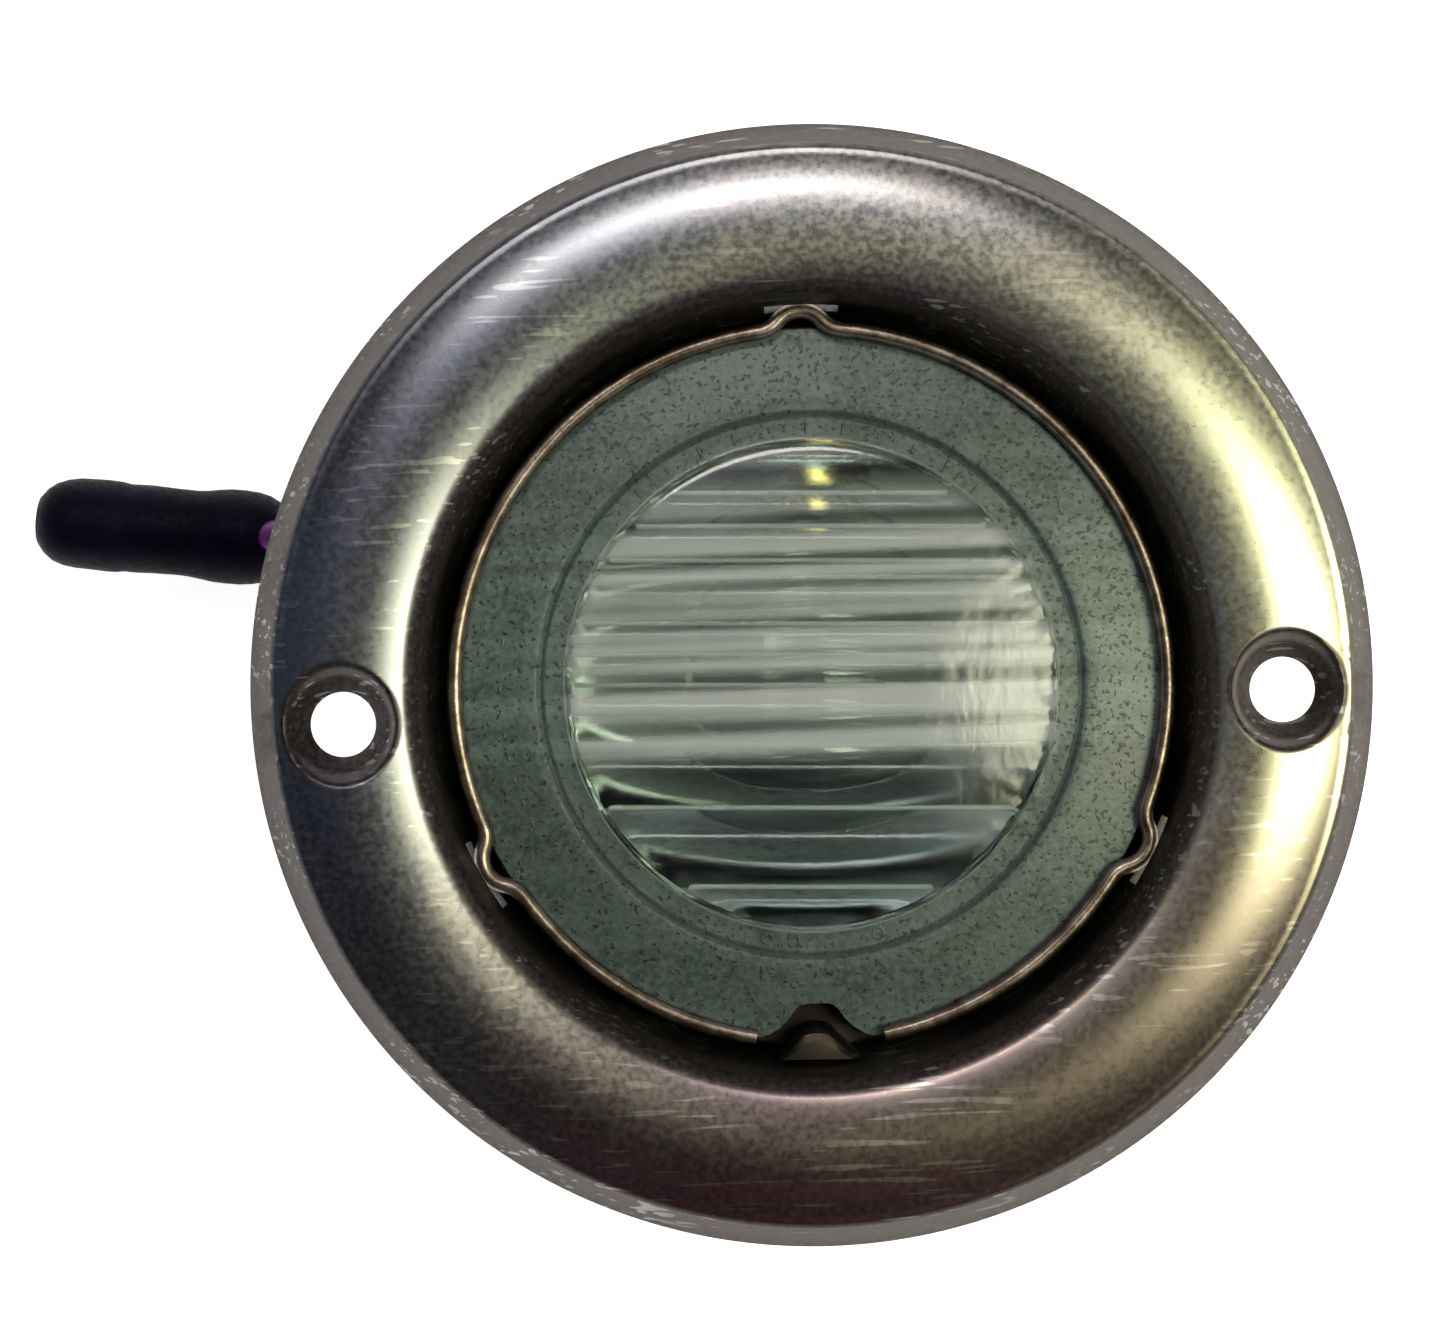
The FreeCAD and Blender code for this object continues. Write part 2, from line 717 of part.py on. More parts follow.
def coil_rod(label, radius, rod_r, pitch, height):
    """Round wire wound about its own Z axis."""
    helix = doc.addObject("Part::Helix", label + "_helix")
    bind(helix, "Radius", radius)
    bind(helix, "Pitch", pitch)
    bind(helix, "Height", height)
    section = doc.addObject("Part::Circle", label + "_section")
    bind(section, "Radius", rod_r)
    section.Placement = Placement(Vector(radius.number, 0, 0), Rotation(Vector(1, 0, 0), 90))
    doc.recompute()
    coil = doc.addObject("Part::Sweep", label)
    coil.Sections = [section]
    coil.Spine = (helix, ["Edge1"])
    coil.Solid = True
    coil.Frenet = True
    doc.recompute()
    return coil


def build_bulb():
    """Single-contact bayonet bulb: brass cap, two pins, insulator, solder contact, glass, stem, filament."""
    cap_inner_r = cap_r - cap_wall
    keep(revolved("bulb_cap", [
        (cap_r, cap_start),
        (cap_r, cap_end - cap_edge),
        (cap_r - cap_edge, cap_end),
        (cap_floor_r, cap_end),
        (cap_floor_r, cap_end - cap_wall),
        (cap_inner_r - cap_edge * 0.8, cap_end - cap_wall),
        (cap_inner_r, cap_end - cap_edge - cap_wall * 0.4),
        (cap_inner_r, cap_start),
    ]), "bulb_cap", socket_placement())
    pins = []
    for side, turn in (("left", -90), ("right", 90)):
        place = Placement(Vector(math.copysign(cap_r.number, turn), 0, 0), Rotation(Vector(0, 1, 0), turn))
        pins.append(cylinder(side + "_pin", pin_r, pin_reach - cap_r, place))
    pair = doc.addObject("Part::Compound", "bulb_pins")
    pair.Links = pins
    doc.recompute()
    keep(pair, "bulb_pins", Placement(Vector(0, pin_at.number, socket_z.number), Rotation()))

    bead_r = cap_inner_r - cap_edge
    keep(revolved("bulb_insulator", [
        (solder_r * 0.45, bead_start),
        (bead_r, bead_start),
        (bead_r, cap_end - cap_wall - touch_gap),
        (cap_floor_r - touch_gap, cap_end - cap_wall - touch_gap),
        (cap_floor_r - touch_gap, cap_end),
        (bead_tip_r, bead_end),
        (solder_r * 0.45, bead_end),
    ]), "bulb_insulator", socket_placement())
    keep(revolved("bulb_contact", [
        (ZERO, bead_start),
        (solder_r * 0.45, bead_start),
        (solder_r * 0.45, bead_end),
        (solder_r, bead_end),
        (solder_r * 0.6, contact_at - touch_gap),
        (ZERO, contact_at - touch_gap),
    ]), "bulb_contact", socket_placement())
    inner_r = glass_r - glass_wall
    inner_neck_r = glass_neck_r - glass_wall
    keep(revolved("bulb_glass", [
        (glass_neck_r, glass_end),
        (glass_neck_r, glass_neck_at, glass_bend, 1),
        (glass_r, glass_middle, glass_r, 1),
        (ZERO, glass_middle - glass_r),
        (ZERO, glass_middle - inner_r, inner_r, -1),
        (inner_r, glass_middle, glass_bend - glass_wall, -1),
        (inner_neck_r, glass_neck_at),
        (inner_neck_r, glass_end),
    ]), "bulb_glass", socket_placement())
    keep(revolved("bulb_stem", [
        (ZERO, stem_top),
        (stem_r, stem_top),
        (stem_r, stem_flare_at),
        (inner_neck_r, stem_foot_at),
        (inner_neck_r, glass_end),
        (ZERO, glass_end),
    ]), "bulb_stem", socket_placement())

    coil = coil_rod("bulb_filament", filament_coil_r, filament_wire_r, filament_pitch, filament_half * 2)
    keep(coil, "bulb_filament", Placement(
        Vector(-filament_half.number, filament_at.number, socket_z.number), Rotation(Vector(0, 1, 0), 90)))

    rods = []
    top = filament_at.number + filament_coil_r.number + filament_wire_r.number + touch_gap.number
    for name, side in (("left", -1), ("right", 1)):
        route = [
            (side * support_root.number, stem_top.number, 0),
            (side * support_root.number * 1.1, stem_top.number * 0.7, 0),
            (side * filament_half.number * 0.96, top + 1.6, 0),
            (side * filament_half.number, top, 0),
        ]
        edges, _ = rounded_route(route)
        rod, _ = swept(name + "_support", edges, support_r.number)
        rods.append(rod)
    pair = doc.addObject("Part::Compound", "filament_supports")
    pair.Links = rods
    doc.recompute()
    keep(pair, "filament_supports", Placement(Vector(0, 0, socket_z.number), Rotation()))


def build_lead():
    """The free lead, the sleeve on its end, and the socket crimped inside the sleeve."""
    edges, radii = rounded_route(LEAD_ROUTE)
    lead, length = swept("lead", edges, lead_r.number)
    lead.Placement = Placement()
    keep(lead, "lead")
    print("lead: length %.1f mm, volume / (section x length) %.4f" % (
        length, lead.Shape.Volume / (math.pi * lead_r.number ** 2 * length)))
    print("lead radii in diameters:", " ".join("%.1f" % (radius / (2 * lead_r.number)) for radius in radii))

    swing = math.radians(boot_swing.number)
    toward = Vector(-math.cos(swing), math.sin(swing), 0)
    mouth = Vector(boot_mouth_x.number, boot_mouth_y.number, LEAD_ROUTE[-1][2])
    place = Placement(mouth, Rotation(Vector(0, 0, 1), toward))
    sleeve = revolved("sleeve", [
        (ZERO, ZERO),
        (boot_mouth_r - boot_round, ZERO, boot_round, -1),
        (boot_mouth_r, boot_round),
        (boot_mouth_r, boot_round * 2),
        (boot_waist_r, boot_round * 3),
        (boot_waist_r, boot_length - boot_round * 2.6),
        (boot_end_r, boot_length - boot_round * 2.2),
        (boot_end_r, boot_length - boot_round * 0.7, boot_round, -1),
        (boot_end_r - boot_round * 0.5, boot_length),
        (receptacle_r, boot_length),
        (receptacle_r, crimp_start),
        (ZERO, crimp_start),
    ])
    sleeve.Placement = place
    keep(cut("connector_boot", sleeve, lead), "connector_boot")
    keep(revolved("bullet_receptacle", [
        (strand_r, crimp_start),
        (crimp_r, crimp_start),
        (crimp_r, crimp_end),
        (receptacle_r, bore_floor),
        (receptacle_r, receptacle_end),
        (receptacle_bore_r, receptacle_end),
        (receptacle_bore_r, bore_floor),
        (ZERO, bore_floor),
        (ZERO, crimp_end),
        (strand_r, crimp_end),
    ]), "bullet_receptacle", place)
    keep(revolved("lead_strands", [
        (ZERO, crimp_start),
        (strand_r, crimp_start),
        (strand_r, crimp_end),
        (ZERO, crimp_end),
    ]), "lead_strands", place)


def check_and_write():
    """Stop on any failed object, then write one STEP file for each sub-part."""
    doc.recompute()
    for thing in doc.Objects:
        if "Invalid" in thing.State or "Error" in thing.State:
            raise ValueError("%s failed: %s" % (thing.Name, thing.State))
    os.makedirs("parts", exist_ok=True)
    for thing in sub_parts:
        shape = thing.Shape
        if shape.isNull() or not shape.isValid() or not shape.Volume > 0:
            raise ValueError("%s has no valid solid" % thing.Label)
        shape.exportStep("parts/%s.step" % thing.Label)
        print("%-18s %9.1f mm3  %d solid(s)" % (thing.Label, shape.Volume, len(shape.Solids)))


build_housing()
build_gasket()
build_lens()
build_ring()
build_socket()
build_bulb()
build_lead()
check_and_write()
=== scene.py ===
"""Round flush-mount reversing lamp, lying on its back and seen from in front of its lens.

Works in metres in the CAD model's frame: +Z is the optical axis, +X runs along the screw holes, and the
bowl stands on the floor at Z = 0. Sizes are named in millimetres unless a comment says otherwise.
"""
import math

import bmesh
import bpy
from mathutils import Matrix, Vector, geometry, noise


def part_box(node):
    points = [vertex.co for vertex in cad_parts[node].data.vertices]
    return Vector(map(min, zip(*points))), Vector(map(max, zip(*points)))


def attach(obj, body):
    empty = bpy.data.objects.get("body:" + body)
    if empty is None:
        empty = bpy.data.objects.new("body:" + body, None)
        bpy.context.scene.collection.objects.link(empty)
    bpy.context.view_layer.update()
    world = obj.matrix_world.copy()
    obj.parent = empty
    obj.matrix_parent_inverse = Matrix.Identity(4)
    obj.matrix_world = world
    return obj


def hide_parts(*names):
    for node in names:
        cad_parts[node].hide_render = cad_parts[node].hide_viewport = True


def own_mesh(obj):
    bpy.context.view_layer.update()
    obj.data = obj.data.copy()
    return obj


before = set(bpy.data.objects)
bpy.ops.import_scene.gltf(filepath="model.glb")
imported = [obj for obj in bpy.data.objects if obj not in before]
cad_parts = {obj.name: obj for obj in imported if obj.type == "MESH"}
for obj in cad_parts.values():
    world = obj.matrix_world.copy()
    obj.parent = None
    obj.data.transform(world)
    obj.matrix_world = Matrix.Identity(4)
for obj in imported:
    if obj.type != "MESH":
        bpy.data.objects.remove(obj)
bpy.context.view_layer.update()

MM = 0.001
TURN = math.tau
ROUND_STEPS = 288

# Camera: lens and sensor in millimetres, place measured from the lamp's axis and the mounting face.
CAMERA_SENSOR, CAMERA_LENS = 36, 74.4
CAMERA_X, CAMERA_Y, CAMERA_REACH = -8.98, 2.59, 304
CAMERA_ROLL = math.radians(-2.14)

# Housing: one pressed sheet, given by the outside of its bends.
STEEL = 0.9
MOUNT_Z = 38.0
FLANGE_R = 57.15
CREASE_R, CREASE_Z = 54.3, 41.6
CROWN_R, CROWN_Z, CROWN_BEND = 41.6, 42.3, 19.0
ROLL_R, ROLL_Z, ROLL_BEND = 39.6, 40.1, 3.1
POCKET_R, POCKET_BEND = 37.8, 0.8
LEDGE_Z, LEDGE_INNER_R, LEDGE_BEND = 31.2, 30.2, 1.2
BOWL_TOP_R, BOWL_FOOT_R, BOWL_BEND = 29.2, 27.2, 5.0
SOCKET_Z = 15.6
NECK_R, NECK_END = 9.3, 43.0

# Screw holes and the countersunk dimples pressed in round them.
SCREW_X, SCREW_Y, SCREW_HOLE_R = 47.625, -2.2, 3.3
SHOULDER_R, SHOULDER_Z, SEAT_Z = 5.0, 41.0, 39.2
DIMPLE_STEEPNESS, DIMPLE_ROUNDING = 2.1, 0.75
DIMPLE_ROWS = (3.3, 3.6, 4.0, 4.4, 4.75, 5.0, 5.25, 5.5, 5.7, 5.9, 6.1, 6.3, 6.55, 6.8, 7.1)
DIMPLE_MARGIN = 0.25

# Retaining ring, and the slots in the pocket wall for its kinks. Angles are in degrees from +X.
RING_KINKS = (89.7, 207.7, 331.7)
RING_ENDS = (279.8, 259.1)
RING_R, RING_WIRE_R, RING_KINK, KINK_BEND = 36.55, 0.82, 1.85, 3.0
RING_CLEARANCE = 0.05
SLOT_LOW, SLOT_HIGH, SLOT_HALF_WIDTH = 35.0, 36.9, 3.6

# Lens: LENS_LINE is its outer face from the rim inwards, up to the edge of the domed window.
LENS_SEAT = 32.25
LENS_RIM = 35.0
LENS_R = 36.75
WINDOW_R = 25.2
WINDOW_TOP_Z, WINDOW_DOME_R = 38.85, 173.5
LENS_LINE = (
    (LENS_R, 34.55), (36.6, 34.87), (36.2, LENS_RIM), (35.3, LENS_RIM), (35.0, 35.05), (28.5, 36.2),
    (28.2, 36.15), (28.0, 35.95), (27.75, 35.8), (27.5, 35.95), (27.3, 36.1), (WINDOW_R + 0.4, 36.15),
    (WINDOW_R, 36.25), (WINDOW_R - 0.25, 36.55), (WINDOW_R - 0.55, 37.02), (WINDOW_R - 0.9, 37.15),
)

# Flutes under the window: ridges across the lens, each at its distance from the middle.
LENS_FLOOR = LENS_SEAT + 1.6
FLUTE_ROOM_R = 24.4
FLUTE_EDGES = (-24.4, -20.6, -12.5, -6.05, 0.0, 3.1, 6.25, 11.0, 12.7, 16.2, 19.6, 24.4)
FLUTE_SWING = math.radians(-2.1)
FLUTE_STEEPNESS = 0.15
RIPPLE_HALF_TURN = 1.0

# Locating nub in the pocket wall and the notch in the lens's rim that it fits.
NOTCH_SWING = math.radians(-1.1)
NUB_WALL_Y = -38.3

# Lead and sleeve. BOOT_MOUTH, LEAD_HOLE and LEAD_ROUTE are in metres, and LEAD_ENTRY is the index of
# the last point of LEAD_ROUTE outside the sleeve.
LEAD_R = 1.85
LEAD_PLAY = 0.08
BOOT_MOUTH = (-0.05687, 0.01804, 0.00545)
BOOT_SWING = math.radians(7.1)
LEAD_HOLE = (-0.0600, 0.01852, 0.00815)
LEAD_ENTRY = 18

# Spring behind the contact.
SPRING_WIRE_R = 0.35
SPRING_TURNS = 2.5

GLASS_IOR = 1.5


# Materials ------------------------------------------------------------------------------------

class Finish:
    """A procedural material: its shader, and short calls that add nodes to its tree."""

    def __init__(self, name, metallic=0.0):
        self.material = bpy.data.materials.new(name)
        self.material.use_nodes = True
        self.nodes = self.material.node_tree.nodes
        self.links = self.material.node_tree.links
        self.shader = self.nodes["Principled BSDF"]
        self.shader.inputs["Metallic"].default_value = metallic
        self.place = self.nodes.new("ShaderNodeTexCoord").outputs["Object"]
        self.along = self.nodes.new("ShaderNodeSeparateXYZ")
        self.links.new(self.place, self.along.inputs[0])

    def feed(self, socket, value):
        if isinstance(value, bpy.types.NodeSocket):
            self.links.new(value, socket)
        else:
            socket.default_value = value

    def look(self, socket, value):
        self.feed(self.shader.inputs[socket], value)

    def noise(self, scale, detail=3.0, stretch=None, turn=0.0):
        """Noise from 0 to 1; stretch draws it out along axes that are first turned about Z."""
        node = self.nodes.new("ShaderNodeTexNoise")
        node.inputs["Scale"].default_value = scale
        node.inputs["Detail"].default_value = detail
        where = self.place
        if stretch:
            mapping = self.nodes.new("ShaderNodeMapping")
            mapping.inputs["Scale"].default_value = stretch
            mapping.inputs["Rotation"].default_value = (0, 0, turn)
            self.links.new(where, mapping.inputs["Vector"])
            where = mapping.outputs["Vector"]
        self.links.new(where, node.inputs["Vector"])
        return node.outputs["Fac"]

    def ramp(self, value, low, high, start=0.0, end=1.0):
        """A smooth step from start to end as value goes from low to high."""
        node = self.nodes.new("ShaderNodeMapRange")
        node.interpolation_type = "SMOOTHSTEP"
        for name, number in (("From Min", low), ("From Max", high), ("To Min", start), ("To Max", end)):
            node.inputs[name].default_value = number
        self.links.new(value, node.inputs["Value"])
        return node.outputs["Result"]

    def fall(self, value, low, high):
        """A smooth step down from 1 to 0."""
        return self.ramp(value, low, high, 1.0, 0.0)

    def math(self, operation, first, second):
        node = self.nodes.new("ShaderNodeMath")
        node.operation = operation
        self.feed(node.inputs[0], first)
        self.feed(node.inputs[1], second)
        return node.outputs[0]

    def plus(self, first, second):
        return self.math("ADD", first, second)

    def times(self, first, *others):
        for other in others:
            first = self.math("MULTIPLY", first, other)
        return first

    def mix(self, share, first, second):
        """A blend of two colours, each three numbers or what another node gives out."""
        node = self.nodes.new("ShaderNodeMix")
        node.data_type = "RGBA"
        self.feed(node.inputs[0], share)
        for socket, colour in ((node.inputs[6], first), (node.inputs[7], second)):
            self.feed(socket, (*colour, 1) if isinstance(colour, tuple) else colour)
        return node.outputs[2]

    def drift(self, value, first, second, low=0.35, high=0.65, most=1.0):
        """A colour that goes from first to second as value goes from low to high."""
        return self.mix(self.ramp(value, low, high, 0.0, most), first, second)

    def distance(self, x=0.0, y=0.0, mirrored=False):
        """Distance in millimetres from an upright line, or from it and its mirror image across X."""
        across = self.times(self.along.outputs["X"], 1 / MM)
        if mirrored:
            across = self.math("ABSOLUTE", across, 0.0)
        across = self.math("SUBTRACT", across, x)
        up = self.math("SUBTRACT", self.times(self.along.outputs["Y"], 1 / MM), y)
        return self.math("SQRT", self.plus(self.times(across, across), self.times(up, up)), 0.0)

    def bump(self, height, distance, strength=1.0):
        node = self.nodes.new("ShaderNodeBump")
        node.inputs["Distance"].default_value = distance
        node.inputs["Strength"].default_value = strength
        self.links.new(height, node.inputs["Height"])
        self.links.new(node.outputs["Normal"], self.shader.inputs["Normal"])


def facing_out(finish):
    """1 where a surface faces away from the lamp's axis, 0 where it faces towards it or straight up."""
    normal = finish.nodes.new("ShaderNodeNewGeometry").outputs["Normal"]
    flat = finish.nodes.new("ShaderNodeCombineXYZ")
    finish.links.new(finish.along.outputs["X"], flat.inputs["X"])
    finish.links.new(finish.along.outputs["Y"], flat.inputs["Y"])
    product = finish.nodes.new("ShaderNodeVectorMath")
    product.operation = "DOT_PRODUCT"
    finish.links.new(normal, product.inputs[0])
    finish.links.new(flat.outputs[0], product.inputs[1])
    return finish.ramp(product.outputs["Value"], 0.5 * MM, 4 * MM)


def steel_masks(finish):
    """Where the steel is painted brown as shade on the bevel, the roll's rim and the dimples, and where the
    pocket is painted dark as shade.
    """
    height = finish.along.outputs["Z"]
    reach = finish.distance()
    inside = finish.math("SUBTRACT", 1.0, facing_out(finish))
    # brown on the bevel, the roll's inward-facing rim and the dimples: painted shade for the dim surroundings
    # these steep faces reflect
    bevel_edge, rim_edge, dimple_edge = (54.0, 54.7), (40.7, 41.5), (6.0, 6.5)
    bevel = finish.ramp(reach, *bevel_edge)
    rim = finish.times(finish.fall(reach, *rim_edge), inside, finish.ramp(height, 0.0300, 0.0306))
    dimple = finish.fall(finish.distance(SCREW_X, SCREW_Y, mirrored=True), *dimple_edge)
    brown_painted_shade = finish.math("MAXIMUM", finish.math("MAXIMUM", bevel, rim), dimple)
    # the pocket below the lip, where it faces the axis, is painted near black: painted shade in the recess
    pocket_lip, pocket_wall, ledge_edge = (0.0365, 0.0392), (39.0, 39.6), (29.8, 30.4)
    deep = finish.times(finish.fall(height, *pocket_lip), inside)
    pocket = finish.times(deep, finish.fall(reach, *pocket_wall), finish.ramp(reach, *ledge_edge))
    return brown_painted_shade, pocket


def paint_crown_reflections(finish, steel, cloud):
    """Painted reflections on the crown, straw yellow, blue and dark smoky red, each fading in along its own
    direction.
    """
    wander = finish.times(finish.math("SUBTRACT", cloud, 0.5), 0.03)
    across = finish.plus(finish.along.outputs["X"], wander)
    up = finish.plus(finish.along.outputs["Y"], wander)
    # Painted reflections: yellow for the light on the right, blue for the dim left, dark red for the dark
    # side below
    painted_yellow_reflection = finish.ramp(finish.plus(across, finish.times(up, -0.3)), 0.0, 0.045)
    painted_blue_reflection = finish.fall(finish.plus(across, finish.times(up, -0.4)), -0.05, -0.012)
    painted_dark_reflection = finish.fall(finish.plus(up, finish.times(across, -0.35)), -0.05, 0.005)
    crown = finish.ramp(finish.along.outputs["Z"], 0.0375, 0.0400)
    for mask, strength, painted_reflection_tone in (
        (painted_yellow_reflection, 0.85, (0.62, 0.61, 0.46)),
        (painted_blue_reflection, 0.75, (0.14, 0.155, 0.19)),
        (painted_dark_reflection, 0.80, (0.12, 0.07, 0.075)),
    ):
        steel = finish.mix(finish.times(mask, crown, strength), steel, painted_reflection_tone)
    return steel


def scratch_mask(finish, cloud):
    """Thin scratches in three directions, only in the patches where cloud is high."""
    scratches = 0.0
    for turn, scale in ((0.12, 1150), (1.35, 1000), (-0.5, 1300)):
        line = finish.noise(scale, 1.0, stretch=(0.05, 1.0, 1.0), turn=turn)
        thin = finish.times(finish.ramp(line, 0.665, 0.70), finish.ramp(cloud, 0.42, 0.6))
        scratches = finish.math("MAXIMUM", scratches, thin)
    return scratches


def satin_stainless():
    """Worn satin steel: bright mottled crown with painted reflections, and a brown bevel, rim band and
    dimples and a dark pocket that are painted shade.
    """
    finish = Finish("satin_stainless", metallic=1.0)
    grain = finish.noise(2400, 2.0)
    mottle = finish.noise(1500, 4.0)
    cloud = finish.noise(75, 3.0)
    brown_painted_shade, pocket = steel_masks(finish)
    steel = finish.drift(mottle, (0.27, 0.265, 0.27), (0.43, 0.42, 0.42), 0.32, 0.68)
    steel = finish.drift(cloud, steel, (0.36, 0.33, 0.32), 0.4, 0.65, most=0.5)
    # the crown is tinted with painted reflections of the lights round it
    steel = paint_crown_reflections(finish, steel, cloud)
    # dull brown painted on the steep faces as shade
    painted_shade_brown = finish.drift(mottle, (0.032, 0.024, 0.024), (0.070, 0.054, 0.053))
    # near-black colour of the pocket's painted shade
    dark = finish.drift(cloud, (0.02, 0.017, 0.015), (0.07, 0.055, 0.045), 0.4, 0.6)
    colour = finish.mix(finish.times(brown_painted_shade, 0.92), steel, painted_shade_brown)
    colour = finish.mix(pocket, colour, dark)
    colour = finish.mix(finish.times(scratch_mask(finish, cloud), 0.3), colour, (0.75, 0.74, 0.72))
    finish.look("Base Color", colour)
    worn = finish.ramp(mottle, 0.3, 0.7, 0.27, 0.33)
    finish.look("Roughness", finish.plus(worn, finish.times(brown_painted_shade, 0.15)))
    finish.bump(finish.plus(grain, finish.times(mottle, 0.6)), 0.000008, 0.3)
    return finish.material


def worn_metal(name, dark, light, roughness, scale=500.0, depth=0.00001):
    """Metal whose colour drifts between two tones, with a fine grain."""
    finish = Finish(name, metallic=1.0)
    tone = finish.noise(scale, 4.0)
    grain = finish.noise(scale * 5, 2.0)
    finish.look("Base Color", finish.drift(tone, dark, light))
    finish.look("Roughness", finish.ramp(grain, 0.3, 0.7, roughness * 0.85, roughness * 1.2))
    finish.bump(finish.plus(grain, tone), depth, 0.6)
    return finish.material


def moulded(name, dark, light, roughness, scale=600.0, depth=0.00002, coat=0.0, gloss=0.5):
    """Rubber, plastic or fibre: two close tones, small pores and a soft sheen."""
    finish = Finish(name)
    tone = finish.noise(scale * 0.4, 3.0)
    pores = finish.noise(scale * 4, 2.0)
    finish.look("Base Color", finish.drift(tone, dark, light))
    finish.look("Roughness", finish.ramp(pores, 0.3, 0.7, roughness * 0.85, min(1.0, roughness * 1.15)))
    finish.shader.inputs["Specular IOR Level"].default_value = gloss
    finish.shader.inputs["Coat Weight"].default_value = coat
    finish.shader.inputs["Coat Roughness"].default_value = 0.25
    finish.bump(finish.plus(pores, tone), depth, 0.5)
    return finish.material


def thin_glass(name, tint, roughness, clear=1.0):
    """Blown glass with faint draw marks."""
    finish = Finish(name)
    waves = finish.noise(160, 2.0)
    finish.look("Base Color", finish.mix(waves, tint, (0.97, 0.99, 0.98)))
    finish.look("Roughness", finish.ramp(waves, 0.3, 0.7, roughness, roughness * 2))
    finish.shader.inputs["Transmission Weight"].default_value = clear
    finish.shader.inputs["IOR"].default_value = GLASS_IOR
    finish.bump(waves, 0.00003, 0.3)
    return finish.material


def pressed_glass():
    """The lens: clear greenish window, and bands stippled pale grey-green with dark specks."""
    finish = Finish("pressed_glass")
    up = finish.along.outputs["Y"]
    reach = finish.distance()
    on_top = finish.ramp(finish.along.outputs["Z"], 0.0342, 0.0346)
    band = finish.times(finish.ramp(reach, 25.0, 25.5), on_top)
    # the fine groove is painted darker: painted shade in the crease
    groove = finish.times(finish.ramp(reach, 27.35, 27.6), finish.fall(reach, 27.9, 28.15))
    stipple = finish.noise(1500, 2.0)
    specks = finish.ramp(finish.noise(1900, 2.5), 0.59, 0.66)
    pale = finish.drift(finish.noise(210, 3.0), (0.055, 0.085, 0.085), (0.10, 0.14, 0.135))
    pale = finish.drift(stipple, pale, (0.15, 0.20, 0.19), 0.35, 0.7, most=0.7)
    pale = finish.mix(finish.times(specks, 0.85), pale, (0.012, 0.02, 0.02))
    pale = finish.mix(finish.times(groove, 0.6), pale, (0.04, 0.06, 0.06))

    row = finish.noise(330, 1.0, stretch=(0.01, 1.0, 0.01))
    upper = finish.ramp(up, 0.012, 0.021, 1.0, 0.25)
    haze = finish.times(finish.ramp(row, 0.38, 0.62, 0.12, 1.0), finish.ramp(up, -0.0085, -0.0055), upper)
    clear = finish.mix(haze, (0.80, 0.93, 0.90), (0.80, 0.83, 0.87))
    finish.look("Base Color", finish.mix(band, clear, pale))
    flowed = finish.times(finish.ramp(finish.along.outputs["X"], 0.006, 0.019), finish.fall(band, 0.0, 1.0))
    window_rough = finish.plus(0.10, finish.times(flowed, 0.12))
    finish.look("Roughness", finish.math("MAXIMUM", window_rough, finish.times(band, 0.40)))
    window_clear = finish.math("SUBTRACT", 1.0, finish.times(haze, 0.42))
    finish.look("Transmission Weight", finish.math("SUBTRACT", window_clear, finish.times(band, 0.62)))
    finish.shader.inputs["IOR"].default_value = GLASS_IOR

    rough = finish.times(finish.plus(stipple, specks), band)
    wave = finish.plus(finish.noise(330, 3.0, stretch=(1.0, 0.55, 1.0)), finish.noise(110, 1.0))
    finish.bump(finish.plus(rough, finish.times(wave, flowed, 5.0)), 0.00005, 0.7)
    return finish.material


def make_finishes():
    """One finish for each material slot in the record."""
    return {
        "stainless": satin_stainless(),
        "ring_steel": worn_metal("tarnished_wire", (0.13, 0.095, 0.075), (0.30, 0.25, 0.21), 0.34,
                                 420.0, 0.00002),
        "lens_glass": pressed_glass(),
        "crests": thin_glass("fire_polished_glass", (0.88, 0.96, 0.94), 0.15, clear=0.35),
        "gasket_rubber": moulded("gasket_rubber", (0.012, 0.014, 0.013), (0.035, 0.04, 0.036), 0.75),
        "plated_steel": worn_metal("plated_steel", (0.40, 0.40, 0.38), (0.58, 0.57, 0.54), 0.3),
        "brass": worn_metal("brass", (0.50, 0.33, 0.12), (0.78, 0.57, 0.25), 0.26),
        "fibre": moulded("fibre_board", (0.10, 0.045, 0.025), (0.17, 0.085, 0.05), 0.7, 900.0),
        "spring_steel": worn_metal("bright_spring", (0.42, 0.42, 0.42), (0.62, 0.62, 0.61), 0.22),
        "bulb_glass": thin_glass("bulb_glass", (0.93, 0.96, 0.96), 0.01),
        "black_glass": moulded("black_glass", (0.006, 0.006, 0.008), (0.02, 0.02, 0.024), 0.12,
                               500.0, 0.00001, coat=0.6),
        "solder": worn_metal("solder", (0.36, 0.36, 0.37), (0.55, 0.55, 0.56), 0.42, 900.0, 0.00003),
        "tungsten": worn_metal("tungsten", (0.20, 0.20, 0.21), (0.34, 0.33, 0.33), 0.4, 2000.0),
        "nickel_wire": worn_metal("nickel_wire", (0.42, 0.41, 0.38), (0.6, 0.58, 0.54), 0.28, 1500.0),
        "black_rubber": moulded("black_rubber", (0.0005, 0.0005, 0.0045), (0.001, 0.001, 0.012), 0.55,
                                420.0, 0.00004, gloss=0.08),
        "purple_pvc": moulded("purple_pvc", (0.105, 0.004, 0.125), (0.18, 0.008, 0.205), 0.38,
                              500.0, 0.00002, coat=0.12),
        "copper": worn_metal("bare_copper", (0.45, 0.20, 0.11), (0.75, 0.38, 0.24), 0.32, 1500.0),
    }


